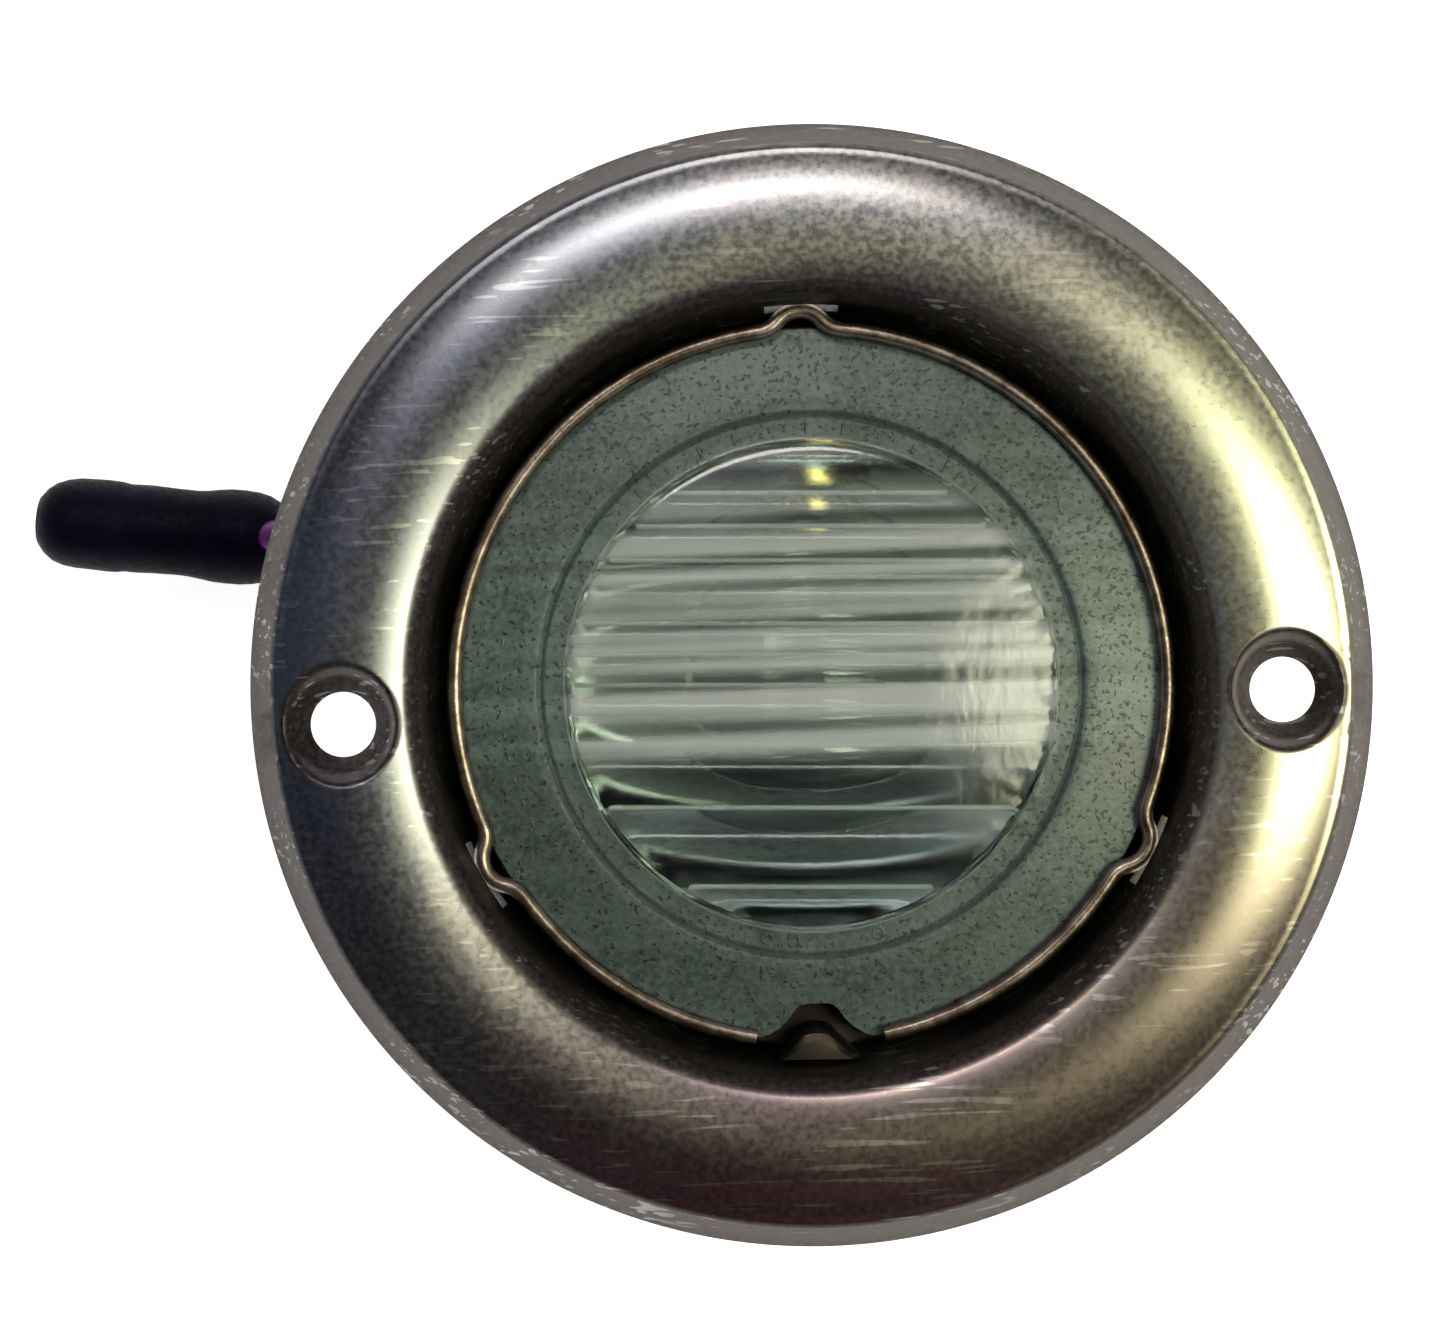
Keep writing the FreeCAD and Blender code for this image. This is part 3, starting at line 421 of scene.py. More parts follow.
SLOT_OF = {
    "lens_gasket": "gasket_rubber", "socket_barrel": "plated_steel", "contact_button": "brass",
    "contact_carrier": "fibre", "rear_insulator": "fibre", "lead_grommet": "black_rubber",
    "bulb_cap": "brass", "bulb_pins": "brass",
    "bulb_insulator": "black_glass", "bulb_contact": "solder", "bulb_glass": "bulb_glass",
    "bulb_stem": "bulb_glass", "bulb_filament": "tungsten", "filament_supports": "nickel_wire",
    "bullet_receptacle": "brass", "lead_strands": "copper",
}


def dress_cad_nodes():
    """Give each CAD node that stays in view its material."""
    for node, slot in SLOT_OF.items():
        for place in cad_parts[node].material_slots:
            place.material = finishes[slot]


def dress(piece, body, node, slot, finish=None):
    """Give a finished piece its material and its body, and hide the CAD node that it stands for."""
    piece.data.materials.clear()
    piece.data.materials.append(finishes[finish or slot])
    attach(piece, body)
    if node:
        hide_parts(node)
    return piece


# Camera and lead ------------------------------------------------------------------------------

def make_camera():
    """Straight down on the flange, a little left of its centre, rolled so that the screw line climbs."""
    data = bpy.data.cameras.new("camera")
    data.sensor_width = CAMERA_SENSOR
    data.lens = CAMERA_LENS
    data.clip_start = 0.01
    camera = bpy.data.objects.new("camera", data)
    camera.location = (CAMERA_X * MM, CAMERA_Y * MM, (MOUNT_Z + CAMERA_REACH) * MM)
    camera.rotation_euler = (0, 0, CAMERA_ROLL)
    bpy.context.scene.collection.objects.link(camera)
    bpy.context.scene.camera = camera


LEAD_ROUTE = (
    (0.0, 0.0448, 0.0156),
    (0.0, 0.0487, 0.0156),
    (-0.0012, 0.0525, 0.015),
    (-0.0034, 0.0556, 0.0137),
    (-0.0063, 0.0577, 0.0117),
    (-0.0097, 0.0588, 0.0095),
    (-0.0134, 0.0588, 0.0075),
    (-0.0176, 0.0577, 0.0061),
    (-0.0222, 0.0553, 0.005),
    (-0.0271, 0.0516, 0.0045),
    (-0.0312, 0.0469, 0.0045),
    (-0.035, 0.0412, 0.0053),
    (-0.0381, 0.0352, 0.0067),
    (-0.0407, 0.0301, 0.0082),
    (-0.0434, 0.0259, 0.0097),
    (-0.0468, 0.0225, 0.0109),
    (-0.0509, 0.0201, 0.0113),
    (-0.0551, 0.01885, 0.0106),
    (-0.0589, 0.01845, 0.0089),
    (-0.0624, 0.01875, 0.00665),
    (-0.0663, 0.01921, 0.00545),
    (-0.07027, 0.01971, 0.00545),
)


def link(thing):
    bpy.context.scene.collection.objects.link(thing)
    return thing


def make_lead():
    """The free lead, one smooth line from the grommet's mouth to the crimp inside the sleeve."""
    curve = bpy.data.curves.new("lead_line", "CURVE")
    curve.dimensions = "3D"
    spline = curve.splines.new("NURBS")
    spline.points.add(len(LEAD_ROUTE) - 1)
    for point, place in zip(spline.points, LEAD_ROUTE):
        point.co = (*place, 1)
    spline.order_u = 3
    spline.use_endpoint_u = True
    spline.resolution_u = 8
    curve.bevel_depth = LEAD_R * MM
    curve.bevel_resolution = 8
    curve.use_fill_caps = True
    return dress(link(bpy.data.objects.new("lead_wire", curve)), "housing", "lead", "purple_pvc")


# Mesh helpers ---------------------------------------------------------------------------------

def arc(start, end, radius, side, steps):
    """Points after start, up to and with end, on a short arc bulging left (side 1) or right (-1)."""
    start = Vector(start)
    end = Vector(end)
    chord = end - start
    half = chord.length / 2
    left = Vector((-chord.y, chord.x)).normalized() * side
    centre = (start + end) / 2 - left * math.sqrt(radius * radius - half * half)
    first = start - centre
    sweep = first.angle_signed(end - centre)
    points = []
    for step in range(1, steps + 1):
        turned = Matrix.Rotation(-sweep * step / steps, 2) @ first
        points.append(tuple(centre + turned))
    return points


def circle_point(radius, angle, centre=(0, 0)):
    """The point at an angle on a circle in the plane."""
    return centre[0] + radius * math.cos(angle), centre[1] + radius * math.sin(angle)


def spin(profile, steps=ROUND_STEPS, closed=True, skip=None):
    """A bmesh turned about Z from (radius, height) points in millimetres; skip(angle, z) leaves gaps."""
    mesh = bmesh.new()
    rings = []
    for radius, height in profile:
        if radius < 1e-6:
            rings.append([mesh.verts.new((0, 0, height * MM))])
            continue
        ring = []
        for step in range(steps):
            x, y = circle_point(radius, TURN * step / steps)
            ring.append(mesh.verts.new((x * MM, y * MM, height * MM)))
        rings.append(ring)
    pairs = list(zip(rings, rings[1:]))
    if closed:
        pairs.append((rings[-1], rings[0]))
    for low, high in pairs:
        middle = (low[0].co.z + high[0].co.z) / 2 / MM
        for step in range(steps):
            after = (step + 1) % steps
            if skip and skip(TURN * (step + 0.5) / steps, middle):
                continue
            corners = [low[step % len(low)], low[after % len(low)]]
            corners += [high[after % len(high)], high[step % len(high)]]
            corners = list(dict.fromkeys(corners))
            if len(corners) > 2:
                mesh.faces.new(corners)
    return mesh


def loft(rings):
    """A closed bmesh through rings of (x, y, z) points in millimetres."""
    mesh = bmesh.new()
    rows = [[mesh.verts.new((x * MM, y * MM, z * MM)) for x, y, z in ring] for ring in rings]
    for low, high in zip(rows, rows[1:]):
        for index in range(len(low)):
            after = (index + 1) % len(low)
            mesh.faces.new((low[index], low[after], high[after], high[index]))
    mesh.faces.new(rows[-1])
    mesh.faces.new(list(reversed(rows[0])))
    return mesh


def triangulated(spots, edges, height, wanted):
    """A bmesh over points in millimetres, raised to height(x, y); wanted(middle) picks its faces."""
    spots, _, faces = geometry.delaunay_2d_cdt(spots, edges, [], 0, 1e-5)[:3]
    mesh = bmesh.new()
    verts = [mesh.verts.new((spot.x * MM, spot.y * MM, height(spot.x, spot.y) * MM)) for spot in spots]
    for face in faces:
        middle = sum((spots[corner] for corner in face), Vector((0, 0))) / len(face)
        if wanted(middle):
            mesh.faces.new([verts[corner] for corner in face])
    loose = [vert for vert in mesh.verts if not vert.link_faces]
    bmesh.ops.delete(mesh, geom=loose, context="VERTS")
    return mesh


def take_in(mesh, other):
    """Move the faces of another bmesh into this one."""
    spare = bpy.data.meshes.new("spare")
    other.to_mesh(spare)
    other.free()
    mesh.from_mesh(spare)
    bpy.data.meshes.remove(spare)


def finish_mesh(mesh, name, sharp=35):
    """Close up a bmesh into a linked object with smooth faces and sharp creases."""
    bmesh.ops.remove_doubles(mesh, verts=mesh.verts, dist=1e-7)
    bmesh.ops.recalc_face_normals(mesh, faces=mesh.faces)
    data = bpy.data.meshes.new(name)
    mesh.to_mesh(data)
    mesh.free()
    smooth(data, sharp)
    return link(bpy.data.objects.new(name, data))


def smooth(data, sharp):
    data.shade_smooth()
    data.set_sharp_from_angle(angle=math.radians(sharp))


def apply_modifiers(thing):
    """Replace an object's mesh by what its modifiers make of it."""
    graph = bpy.context.evaluated_depsgraph_get()
    made = bpy.data.meshes.new_from_object(thing.evaluated_get(graph))
    thing.modifiers.clear()
    thing.data = made


def carve(thing, tool, operation):
    """Cut or join another mesh, and throw the tool away."""
    modifier = thing.modifiers.new(operation, "BOOLEAN")
    modifier.operation = operation
    modifier.solver = "EXACT"
    modifier.object = tool
    bpy.context.view_layer.update()
    apply_modifiers(thing)
    bpy.data.objects.remove(tool)


def along_socket(thing):
    """Lay a piece that was turned about Z along the socket's axis."""
    quarter_turn = Matrix.Rotation(math.radians(-90), 4, "X")
    thing.data.transform(Matrix.Translation((0, 0, SOCKET_Z * MM)) @ quarter_turn)


# Housing --------------------------------------------------------------------------------------

def top_line():
    """Top of the pressed sheet, from the flange's lip over its crown to the roll into the pocket."""
    line = [(FLANGE_R, MOUNT_Z), (CREASE_R + 0.55, CREASE_Z - 0.75)]
    line += arc(line[-1], (CREASE_R - 0.6, CREASE_Z + 0.28), 1.1, -1, 6)
    line += arc(line[-1], (CROWN_R, CROWN_Z), CROWN_BEND, -1, 26)
    line += arc(line[-1], (ROLL_R, ROLL_Z), ROLL_BEND, -1, 10)
    return line


def below_roll_line():
    """The rest of the sheet's upper side: pocket wall, ledge, bowl and floor."""
    foot = LEDGE_Z + POCKET_BEND
    slope = (ROLL_R - POCKET_R) / (ROLL_Z - LEDGE_Z - POCKET_BEND)
    line = [(ROLL_R, ROLL_Z)]
    for height in (SLOT_HIGH, 36.3, 35.6, SLOT_LOW):
        line.append((POCKET_R + (height - foot) * slope, height))
    line.append((POCKET_R, foot))
    line += arc(line[-1], (POCKET_R - POCKET_BEND, LEDGE_Z), POCKET_BEND, 1, 5)
    line.append((LEDGE_INNER_R, LEDGE_Z))
    line += arc(line[-1], (BOWL_TOP_R, LEDGE_Z - LEDGE_BEND), 1.3, -1, 6)
    drop = LEDGE_Z - LEDGE_BEND - STEEL - BOWL_BEND
    for share in (0.25, 0.5, 0.75, 1.0):
        line.append((BOWL_TOP_R - (BOWL_TOP_R - BOWL_FOOT_R) * share, LEDGE_Z - LEDGE_BEND - drop * share))
    line += arc(line[-1], (BOWL_FOOT_R - BOWL_BEND, STEEL), BOWL_BEND, 1, 10)
    for share in (0.66, 0.33, 0.0):
        line.append(((BOWL_FOOT_R - BOWL_BEND) * share, STEEL))
    return line


def height_on(line, radius):
    """Height of a line of falling radius at one radius."""
    for (outer, outer_z), (inner, inner_z) in zip(line, line[1:]):
        if inner <= radius <= outer:
            return inner_z + (outer_z - inner_z) * (radius - inner) / (outer - inner)
    return line[0][1] if radius > line[0][0] else line[-1][1]


def screw_reach(x, y):
    """Distance from the nearer screw hole's axis."""
    return min(math.hypot(x - side * SCREW_X, y - SCREW_Y) for side in (-1, 1))


def flange_height(line, x, y):
    """The crowned flange with a countersunk dimple pressed in at each screw hole."""
    crown = height_on(line, math.hypot(x, y))
    reach = screw_reach(x, y)
    if reach < SHOULDER_R:
        cup = SEAT_Z + (reach - SCREW_HOLE_R) * (SHOULDER_Z - SEAT_Z) / (SHOULDER_R - SCREW_HOLE_R)
    else:
        cup = SHOULDER_Z + (reach - SHOULDER_R) * DIMPLE_STEEPNESS
    near = max(0, DIMPLE_ROUNDING - abs(crown - cup)) / DIMPLE_ROUNDING
    return min(crown, cup) - near * near * DIMPLE_ROUNDING / 4


def loop_edges(first, steps):
    """Edges of a closed loop of points that starts at index first."""
    return [(first + step, first + (step + 1) % steps) for step in range(steps)]


def flange_mesh(line):
    """Top of the flange as one open surface whose points follow both the rim and the dimples."""
    spots = []
    edges = []
    for row, (radius, _) in enumerate(line):
        ring = [Vector(circle_point(radius, TURN * step / ROUND_STEPS)) for step in range(ROUND_STEPS)]
        if row in (0, len(line) - 1):
            edges += loop_edges(len(spots), ROUND_STEPS)
        else:
            ring = [spot for spot in ring if screw_reach(spot.x, spot.y) > DIMPLE_ROWS[-1] + DIMPLE_MARGIN]
        spots += ring
    steps = 96
    for side in (-1, 1):
        centre = (side * SCREW_X, SCREW_Y)
        for radius in DIMPLE_ROWS:
            if radius in (DIMPLE_ROWS[0], DIMPLE_ROWS[-1]):
                edges += loop_edges(len(spots), steps)
            spots += [Vector(circle_point(radius, TURN * step / steps, centre)) for step in range(steps)]

    def on_sheet(middle):
        return screw_reach(middle.x, middle.y) >= SCREW_HOLE_R and ROLL_R < middle.length < FLANGE_R

    return triangulated(spots, edges, lambda x, y: flange_height(line, x, y), on_sheet)


def off_kink(angle):
    """Angle to the nearest of the ring's kinks, in radians."""
    return min(abs((angle - math.radians(kink) + math.pi) % TURN - math.pi) for kink in RING_KINKS)


def in_ring_slot(angle, height):
    return SLOT_LOW < height < SLOT_HIGH and off_kink(angle) < SLOT_HALF_WIDTH / POCKET_R


def make_housing():
    """One pressed sheet: flange with dimples, slotted pocket wall, bowl, and the drawn neck."""
    sheet = flange_mesh(top_line())
    take_in(sheet, spin(below_roll_line(), closed=False, skip=in_ring_slot))
    bmesh.ops.remove_doubles(sheet, verts=sheet.verts, dist=2e-6)
    bmesh.ops.recalc_face_normals(sheet, faces=sheet.faces)
    top_face = max(sheet.faces, key=lambda face: face.calc_center_median().z)
    if top_face.normal.z < 0:
        bmesh.ops.reverse_faces(sheet, faces=sheet.faces)
    shell = finish_open(sheet, "housing_shell")
    thicken = shell.modifiers.new("sheet", "SOLIDIFY")
    thicken.thickness = STEEL * MM
    thicken.offset = -1
    thicken.use_even_offset = False
    apply_modifiers(shell)

    neck_r = NECK_R + STEEL
    neck = finish_mesh(spin([(0, 24.5), (neck_r, 24.5), (neck_r, NECK_END), (0, NECK_END)], 96, closed=False),
                       "neck_tool")
    along_socket(neck)
    room_profile = [(0, 3), (BOWL_FOOT_R + 0.3, 3), (BOWL_FOOT_R + 0.3, 6), (BOWL_TOP_R + 0.3, 29), (0, 29)]
    carve(neck, finish_mesh(spin(room_profile, 96, closed=False), "room_tool"), "DIFFERENCE")
    carve(shell, neck, "UNION")
    bore_end = NECK_END + 2
    bore = finish_mesh(spin([(0, 15), (NECK_R, 15), (NECK_R, bore_end), (0, bore_end)], 96, closed=False),
                       "bore_tool")
    along_socket(bore)
    carve(shell, bore, "DIFFERENCE")
    carve(shell, make_nub(), "UNION")
    smooth(shell.data, 32)
    return dress(shell, "housing", "housing", "stainless")


def finish_open(mesh, name):
    """Link an open surface without turning its faces over."""
    data = bpy.data.meshes.new(name)
    mesh.to_mesh(data)
    mesh.free()
    data.shade_smooth()
    return link(bpy.data.objects.new(name, data))


def make_nub():
    """Pressed locating nub: a tapering hood that leans out of the pocket wall."""
    outline = ((-4.6, NUB_WALL_Y), (-3.4, -37.2), (-2.3, -36.2), (-1.5, -35.3), (-0.6, -34.95),
               (0.6, -34.95), (1.5, -35.3), (2.3, -36.2), (3.4, -37.2), (4.6, NUB_WALL_Y))
    levels = ((LEDGE_Z - 0.4, 1.0), (33.5, 1.0), (35.4, 0.93), (36.2, 0.78), (36.6, 0.5))
    rings = [[(x * (0.55 + 0.45 * share), NUB_WALL_Y + (y - NUB_WALL_Y) * share, height) for x, y in outline]
             for height, share in levels]
    nub = finish_mesh(loft(rings), "nub_tool")
    nub.data.transform(Matrix.Rotation(NOTCH_SWING, 4, "Z"))
    return nub


# Lens, contact spring, inner lead and ring ----------------------------------------------------

def lens_top(radius):
    """Height of the lens's outer face: domed window, its wall, two bands and the fine groove between."""
    if radius < LENS_LINE[-1][0]:
        return WINDOW_TOP_Z - radius * radius / (2 * WINDOW_DOME_R)
    return height_on(LENS_LINE, radius)


def flute_height(x, y):
    """Underside of the window: a row of hollow flutes that meet in ridges."""
    slack = 0.02
    if math.hypot(x, y) > FLUTE_ROOM_R + slack:
        return LENS_FLOOR
    across = y * math.cos(FLUTE_SWING) - x * math.sin(FLUTE_SWING)
    for low, high in zip(FLUTE_EDGES, FLUTE_EDGES[1:]):
        if low <= across <= high:
            share = (2 * across - low - high) / (high - low)
            return LENS_FLOOR + FLUTE_STEEPNESS * (high - low) * (1 - share * share)
    return LENS_FLOOR


def fluted_disc():
    """The fluted floor of the window, with edges along every ridge."""
    spots = []
    edges = []
    for radius in (FLUTE_ROOM_R, FLUTE_ROOM_R + 0.1):
        edges += loop_edges(len(spots), ROUND_STEPS)
        spots += [Vector(circle_point(radius, TURN * step / ROUND_STEPS)) for step in range(ROUND_STEPS)]
    turn = Matrix.Rotation(FLUTE_SWING, 2)
    for low, high in zip(FLUTE_EDGES, FLUTE_EDGES[1:]):
        rows = max(4, round((high - low) / 0.7))
        for row in range(rows):
            across = low + (high - low) * row / rows
            reach = math.sqrt(max(0, (FLUTE_ROOM_R - 0.15) ** 2 - across * across))
            if reach < 1:
                continue
            columns = max(2, round(reach / 0.8))
            first = len(spots)
            for column in range(columns + 1):
                spots.append(turn @ Vector((reach * (2 * column / columns - 1), across)))
            edges += [(first + column, first + column + 1) for column in range(columns)]
    return triangulated(spots, edges, flute_height, lambda middle: True)


def make_lens():
    """The lens: its outer face, the rim's underside, and the fluted disc under the window."""
    outer = [(radius, lens_top(radius)) for radius in (
        *range(0, 24, 2), 23.5, 24.3, 24.65, 24.95, 25.2, 25.6, 26.4, 27.3, 27.5, 27.75, 28.0, 28.2,
        28.5, 30, 31.5, 33, 34.2, 35.0, 35.3, 36.2, 36.6, LENS_R)]
    under = [(LENS_R, LENS_SEAT + 0.3), (LENS_R - 0.3, LENS_SEAT), (31.0, LENS_SEAT), (30.6, LENS_SEAT + 0.3),
             (30.2, LENS_SEAT + 0.9), (29.6, LENS_SEAT + 1.0), (25.8, LENS_SEAT + 1.0),
             (FLUTE_ROOM_R + 0.1, LENS_FLOOR)]
    body = spin(outer + under, closed=False)
    take_in(body, fluted_disc())
    bmesh.ops.remove_doubles(body, verts=body.verts, dist=3e-6)
    lens = finish_mesh(body, "lens_glass_body")
    carve(lens, make_notch_tool(), "DIFFERENCE")
    for vert in lens.data.vertices:
        ripple(vert)
    smooth(lens.data, 24)
    return dress(lens, "lens", "lens", "lens_glass")


def ripple(vert):
    """The wall round the window flowed unevenly in the mould on its +X side."""
    reach = math.hypot(vert.co.x, vert.co.y) / MM
    turn = math.atan2(vert.co.y, vert.co.x)
    if not 22.5 < reach < 26.9 or vert.co.z < (LENS_FLOOR + 1) * MM:
        return
    share = max(0.0, 1 - (turn / RIPPLE_HALF_TURN) ** 2) * (1 - abs(reach - 24.7) / 2.3)
    shift = noise.noise(Vector((turn * 13, reach * 0.8, 0)))
    shift += 0.5 * noise.noise(Vector((turn * 37, reach, 4)))
    grow = 1 + 0.7 * shift * share / reach
    vert.co.x *= grow
    vert.co.y *= grow
    vert.co.z += 0.25 * MM * noise.noise(Vector((turn * 19, reach * 1.7, 9))) * share


def rods(name, lines, radius):
    """Thin round bars along lines of points in millimetres, as one curve."""
    curve = bpy.data.curves.new(name + "_line", "CURVE")
    curve.dimensions = "3D"
    for line in lines:
        spline = curve.splines.new("POLY")
        spline.points.add(len(line) - 1)
        for point, place in zip(spline.points, line):
            point.co = (*(Vector(place) * MM), 1)
    curve.bevel_depth = radius * MM
    curve.bevel_resolution = 3
    curve.use_fill_caps = True
    return link(bpy.data.objects.new(name, curve))


def make_contact_spring():
    """The spring behind the contact: a coil with closed ends."""
    low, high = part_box("contact_spring")
    radius = (high.x - low.x) / 2 / MM - SPRING_WIRE_R
    first = low.y / MM + SPRING_WIRE_R
    last = high.y / MM - SPRING_WIRE_R
    steps = 120
    line = []
    for step in range(steps + 1):
        share = step / steps
        rise = min(1.0, max(0.0, (share - 0.15) / 0.7))
        x, z = circle_point(radius, TURN * SPRING_TURNS * share, (0, SOCKET_Z))
        line.append((x, first + (last - first) * rise, z))
    spring = as_mesh(rods("coil_spring", [line], SPRING_WIRE_R))
    dress(spring, "housing", "contact_spring", "spring_steel")
    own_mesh(spring)


def make_inner_lead():
    """The last of the lead inside the socket."""
    low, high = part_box("lead_inside")
    first, last = low.y / MM, high.y / MM
    taper = 0.3
    steps = 12
    rows = [(LEAD_R * 0.8, first), (LEAD_R, first + taper)]
    rows += [(LEAD_R, first + taper + (last - first - taper) * step / steps) for step in range(1, steps + 1)]
    inner = finish_mesh(spin([(0, first)] + rows + [(0, last)], 48, closed=False), "lead_tail")
    along_socket(inner)
    dress(inner, "housing", "lead_inside", "purple_pvc")
    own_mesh(inner)


def as_mesh(thing):
    """Swap a curve object for a mesh object of the same name and shape."""
    graph = bpy.context.evaluated_depsgraph_get()
    data = bpy.data.meshes.new_from_object(thing.evaluated_get(graph))
    name = thing.name
    bpy.data.objects.remove(thing)
    data.shade_smooth()
    return link(bpy.data.objects.new(name, data))


def make_flute_crests():
    """The rounded crests where two flutes meet."""
    lines = []
    for across in FLUTE_EDGES[1:-1]:
        reach = math.sqrt((FLUTE_ROOM_R - 0.35) ** 2 - across * across)
        ends = [Matrix.Rotation(FLUTE_SWING, 2) @ Vector((side * reach, across)) for side in (-1, 1)]
        lines.append([(*ends[0].lerp(ends[1], step / 24), LENS_FLOOR + 0.08) for step in range(25)])
    return dress(rods("flute_crests", lines, 0.24), "lens", None, "lens_glass", "crests")


def make_lens_marks():
    """Plain raised bars and dots where moulded marks would be."""
    lines = []
    for step in range(11):
        turn = math.radians(48 + 8.2 * step)
        inner, outer = (25.75, 27.0) if step % 3 else (26.1, 26.7)
        radii = (inner, (inner + outer) / 2, outer)
        lines.append([(*circle_point(radius, turn), lens_top(radius)) for radius in radii])
    dash_r = 31.9
    for step in range(9):
        middle = math.radians(170 + 4.3 * step)
        turns = (middle - 0.008, middle, middle + 0.008)
        lines.append([(*circle_point(dash_r, turn), lens_top(dash_r)) for turn in turns])
    dot_reach = 26.3
    for middle in (258, 264, 283):
        centre = circle_point(dot_reach, math.radians(middle))
        turns = [math.radians(middle + 360 * step / 16) for step in range(17)]
        lines.append([(*circle_point(0.55, turn, centre), lens_top(dot_reach)) for turn in turns])
    return dress(rods("lens_marks", lines, 0.15), "lens", None, "lens_glass")


def make_notch_tool():
    """Flat-topped notch that flares in an S to the rim."""
    half = [(1.0, -32.7), (1.7, -32.85), (2.2, -33.3), (2.9, -34.3), (3.8, -35.2), (5.0, -35.9), (6.8, -36.5),
            (8.5, -38.5)]
    outline = [(-x, y) for x, y in reversed(half)] + half
    tool = finish_mesh(loft([[(x, y, height) for x, y in outline] for height in (30, 40)]), "notch_tool")
    tool.data.transform(Matrix.Rotation(NOTCH_SWING, 4, "Z"))
    return tool


def ring_line():
    """Points along the retaining ring: a circle of wire with three outward kinks, each of three arcs."""
    crest = RING_R + RING_KINK
    foot_reach = RING_R + KINK_BEND
    crest_reach = crest - KINK_BEND
    cosine = (foot_reach ** 2 + crest_reach ** 2 - 4 * KINK_BEND ** 2) / (2 * foot_reach * crest_reach)
    swing = math.acos(cosine)
    meeting = Vector((crest_reach, 0)).lerp(Vector(circle_point(foot_reach, swing)), 0.5)
    reach_out = meeting.angle_signed(Vector((1, 0)))
    points = []
    steps = 900
    first = math.radians(RING_ENDS[0] - 360)
    last = math.radians(RING_ENDS[1])
    for step in range(steps + 1):
        angle = first + (last - first) * step / steps
        off = off_kink(angle)
        radius = RING_R
        if off < abs(reach_out):
            radius = on_arc(crest_reach, 0, off, 1)
        elif off < swing:
            radius = on_arc(foot_reach, swing, off, -1)
        points.append(circle_point(radius, angle))
    return points


def on_arc(reach, centre_angle, angle, side):
    """Distance from the lamp's axis to a kink arc, its far side (1) or near side (-1)."""
    gap = centre_angle - angle
    inside = KINK_BEND ** 2 - (reach * math.sin(gap)) ** 2
    return reach * math.cos(gap) + side * math.sqrt(max(0, inside))


def make_ring():
    """The retaining ring, lying on the lens's rim."""
    curve = bpy.data.curves.new("ring_line", "CURVE")
    curve.dimensions = "3D"
    spline = curve.splines.new("POLY")
    line = ring_line()
    spline.points.add(len(line) - 1)
    height = LENS_RIM + RING_CLEARANCE + RING_WIRE_R
    for point, (x, y) in zip(spline.points, line):
        point.co = (x * MM, y * MM, height * MM, 1)
    curve.bevel_depth = RING_WIRE_R * MM
    curve.bevel_resolution = 6
    curve.use_fill_caps = True
    return dress(link(bpy.data.objects.new("spring_ring", curve)), "ring", "retaining_ring", "ring_steel")


# Connector ------------------------------------------------------------------------------------

SLEEVE_PROFILE = (
    (0, 0), (1.2, 0.0), (2.4, 0.25), (3.6, 0.9), (4.5, 1.8), (5.0, 2.9), (5.3, 4.2), (5.42, 5.6), (5.40, 7.2),
    (5.28, 8.6), (5.08, 9.9), (4.96, 11.2), (4.93, 13.0), (4.95, 15.4), (5.0, 17.4), (5.02, 18.6),
    (5.18, 19.5), (5.24, 20.6), (5.22, 22.5), (5.16, 24.2), (4.95, 25.6), (4.5, 26.8), (3.8, 27.7),
    (3.0, 28.3), (2.75, 28.45), (2.66, 28.3), (2.66, 17.2), (0, 17.0),
)
# The profile is divided more finely as far as the lip, and everything within SLEEVE_SMOOTH_R stays smooth.
SLEEVE_LIP = 28.2
SLEEVE_SMOOTH_R = 2.9


def facing_along(thing, heading, place):
    """Lay a piece that was turned about Z along a heading, with its origin at a place in metres."""
    thing.data.transform(Matrix.Translation(place) @ heading.to_track_quat("Z", "Y").to_matrix().to_4x4())


def make_boot():
    """Soft sleeve over the bullet socket: a slightly waisted tube with the lead let in near its mouth."""
    fine = []
    for (first, first_at), (second, second_at) in zip(SLEEVE_PROFILE, SLEEVE_PROFILE[1:]):
        parts = 1 if first_at > SLEEVE_LIP else 2
        fine += [(first + (second - first) * part / parts, first_at + (second_at - first_at) * part / parts)
                 for part in range(parts)]
    boot = finish_mesh(spin(fine + [SLEEVE_PROFILE[-1]], 96, closed=False), "connector_sleeve", sharp=60)
    for vert in boot.data.vertices:
        flat = Vector((vert.co.x, vert.co.y, 0))
        if flat.length > SLEEVE_SMOOTH_R * MM:
            lump = noise.noise(vert.co * 160) * 0.16 + noise.noise(vert.co * 520 + Vector((3, 1, 2))) * 0.05
            vert.co += flat.normalized() * (lump - 0.08) * MM
    facing_along(boot, Vector((-math.cos(BOOT_SWING), math.sin(BOOT_SWING), 0)), BOOT_MOUTH)
    hole_r = LEAD_R + LEAD_PLAY
    hole = finish_mesh(spin([(0, -6), (hole_r, -6), (hole_r, 6), (0, 6)], 48, closed=False), "hole_tool")
    outside, inside = LEAD_ROUTE[LEAD_ENTRY:LEAD_ENTRY + 2]
    facing_along(hole, Vector([after - before for before, after in zip(outside, inside)]), LEAD_HOLE)
    carve(boot, hole, "DIFFERENCE")
    smooth(boot.data, 50)
    return dress(boot, "housing", "connector_boot", "black_rubber")


# Stage ----------------------------------------------------------------------------------------

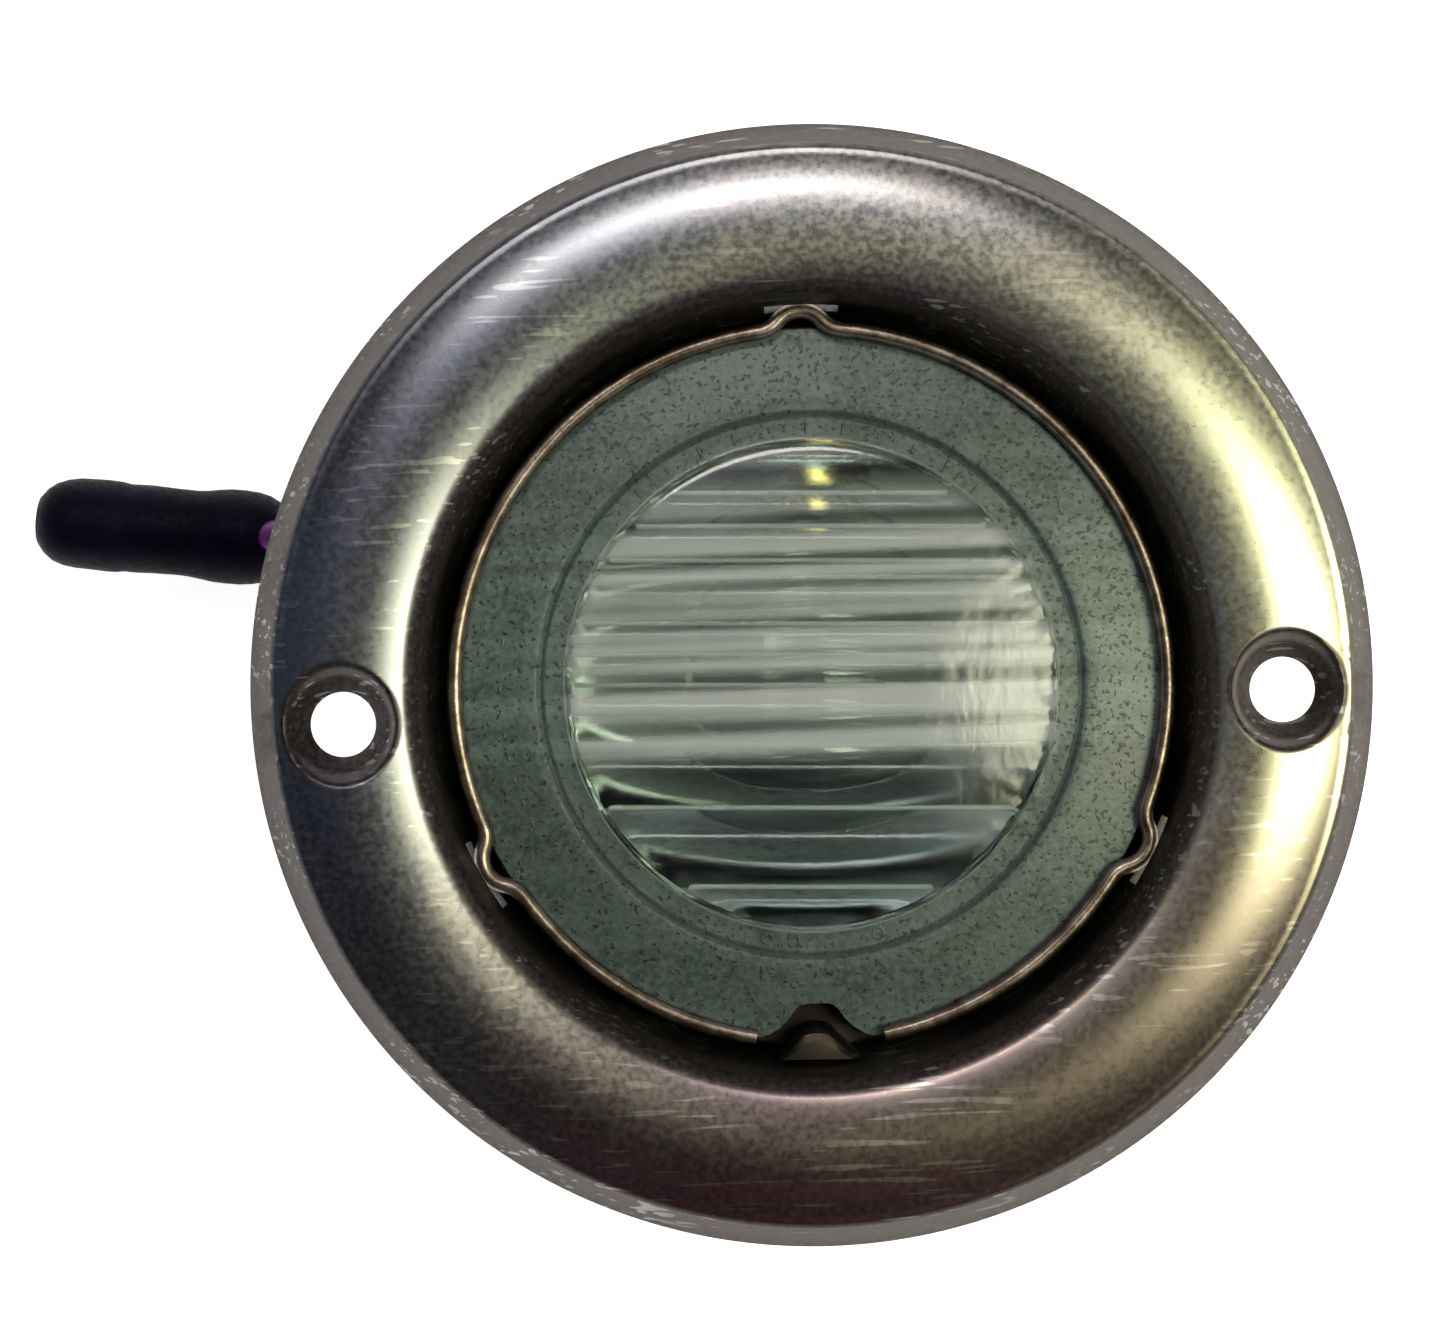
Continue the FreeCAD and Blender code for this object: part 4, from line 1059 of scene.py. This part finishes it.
def area_light(name, place, width, height, power, colour):
    """An oval light, sized in metres, that shines on the middle of the flange and isn't seen itself."""
    data = bpy.data.lights.new(name, "AREA")
    data.shape = "ELLIPSE"
    data.size = width
    data.size_y = height
    data.energy = power
    data.color = colour
    light = link(bpy.data.objects.new(name, data))
    light.visible_camera = False
    light.location = place
    light.rotation_euler = (Vector((0, 0, 0.04)) - Vector(place)).to_track_quat("-Z", "Y").to_euler()


def make_floor():
    """A pale floor that glows a little, so that it shows as plain white."""
    material = bpy.data.materials.new("pale_floor")
    material.use_nodes = True
    shader = material.node_tree.nodes["Principled BSDF"]
    shader.inputs["Base Color"].default_value = (0.9, 0.9, 0.9, 1)
    shader.inputs["Roughness"].default_value = 0.9
    shader.inputs["Emission Color"].default_value = (1, 1, 1, 1)
    shader.inputs["Emission Strength"].default_value = 0.9
    mesh = bmesh.new()
    bmesh.ops.create_grid(mesh, x_segments=2, y_segments=2, size=3)
    floor = finish_open(mesh, "floor")
    floor.data.materials.append(material)


def make_world():
    """Surroundings that are pale near the horizon and dark overhead."""
    world = bpy.data.worlds.new("studio")
    world.use_nodes = True
    nodes = world.node_tree.nodes
    links = world.node_tree.links
    direction = nodes.new("ShaderNodeSeparateXYZ")
    fade = nodes.new("ShaderNodeMapRange")
    fade.interpolation_type = "SMOOTHSTEP"
    fade.inputs["From Min"].default_value = 0.15
    fade.inputs["From Max"].default_value = 0.65
    shade = nodes.new("ShaderNodeMix")
    shade.data_type = "RGBA"
    shade.inputs[6].default_value = (0.50, 0.50, 0.52, 1)
    shade.inputs[7].default_value = (0.014, 0.017, 0.022, 1)
    links.new(nodes.new("ShaderNodeTexCoord").outputs["Generated"], direction.inputs[0])
    links.new(direction.outputs["Z"], fade.inputs["Value"])
    links.new(fade.outputs["Result"], shade.inputs[0])
    links.new(shade.outputs[2], nodes["Background"].inputs["Color"])
    bpy.context.scene.world = world
    bpy.context.scene.view_settings.view_transform = "Standard"


def make_lights():
    """Each light's name, place, width and height in metres, power in watts, and colour."""
    area_light("key", (-0.06, 0.37, 0.66), 0.42, 0.09, 1.35, (1.0, 0.94, 0.88))
    area_light("sky", (-0.10, 0.28, 0.72), 0.30, 0.22, 0.22, (0.85, 0.88, 1.0))
    area_light("right", (0.36, -0.03, 0.62), 0.26, 0.42, 3.2, (0.96, 0.96, 0.66))
    area_light("left", (-0.42, 0.05, 0.6), 0.25, 0.5, 0.04, (0.45, 0.6, 1.0))
    area_light("below", (0.02, -0.45, 0.6), 0.5, 0.15, 0.03, (1.0, 0.25, 0.35))


make_camera()
finishes = make_finishes()
lead = make_lead()
boot = make_boot()

dress_cad_nodes()
make_housing()
make_lens()
make_flute_crests()
make_lens_marks()
make_ring()
make_contact_spring()
make_inner_lead()
make_floor()
make_world()
make_lights()
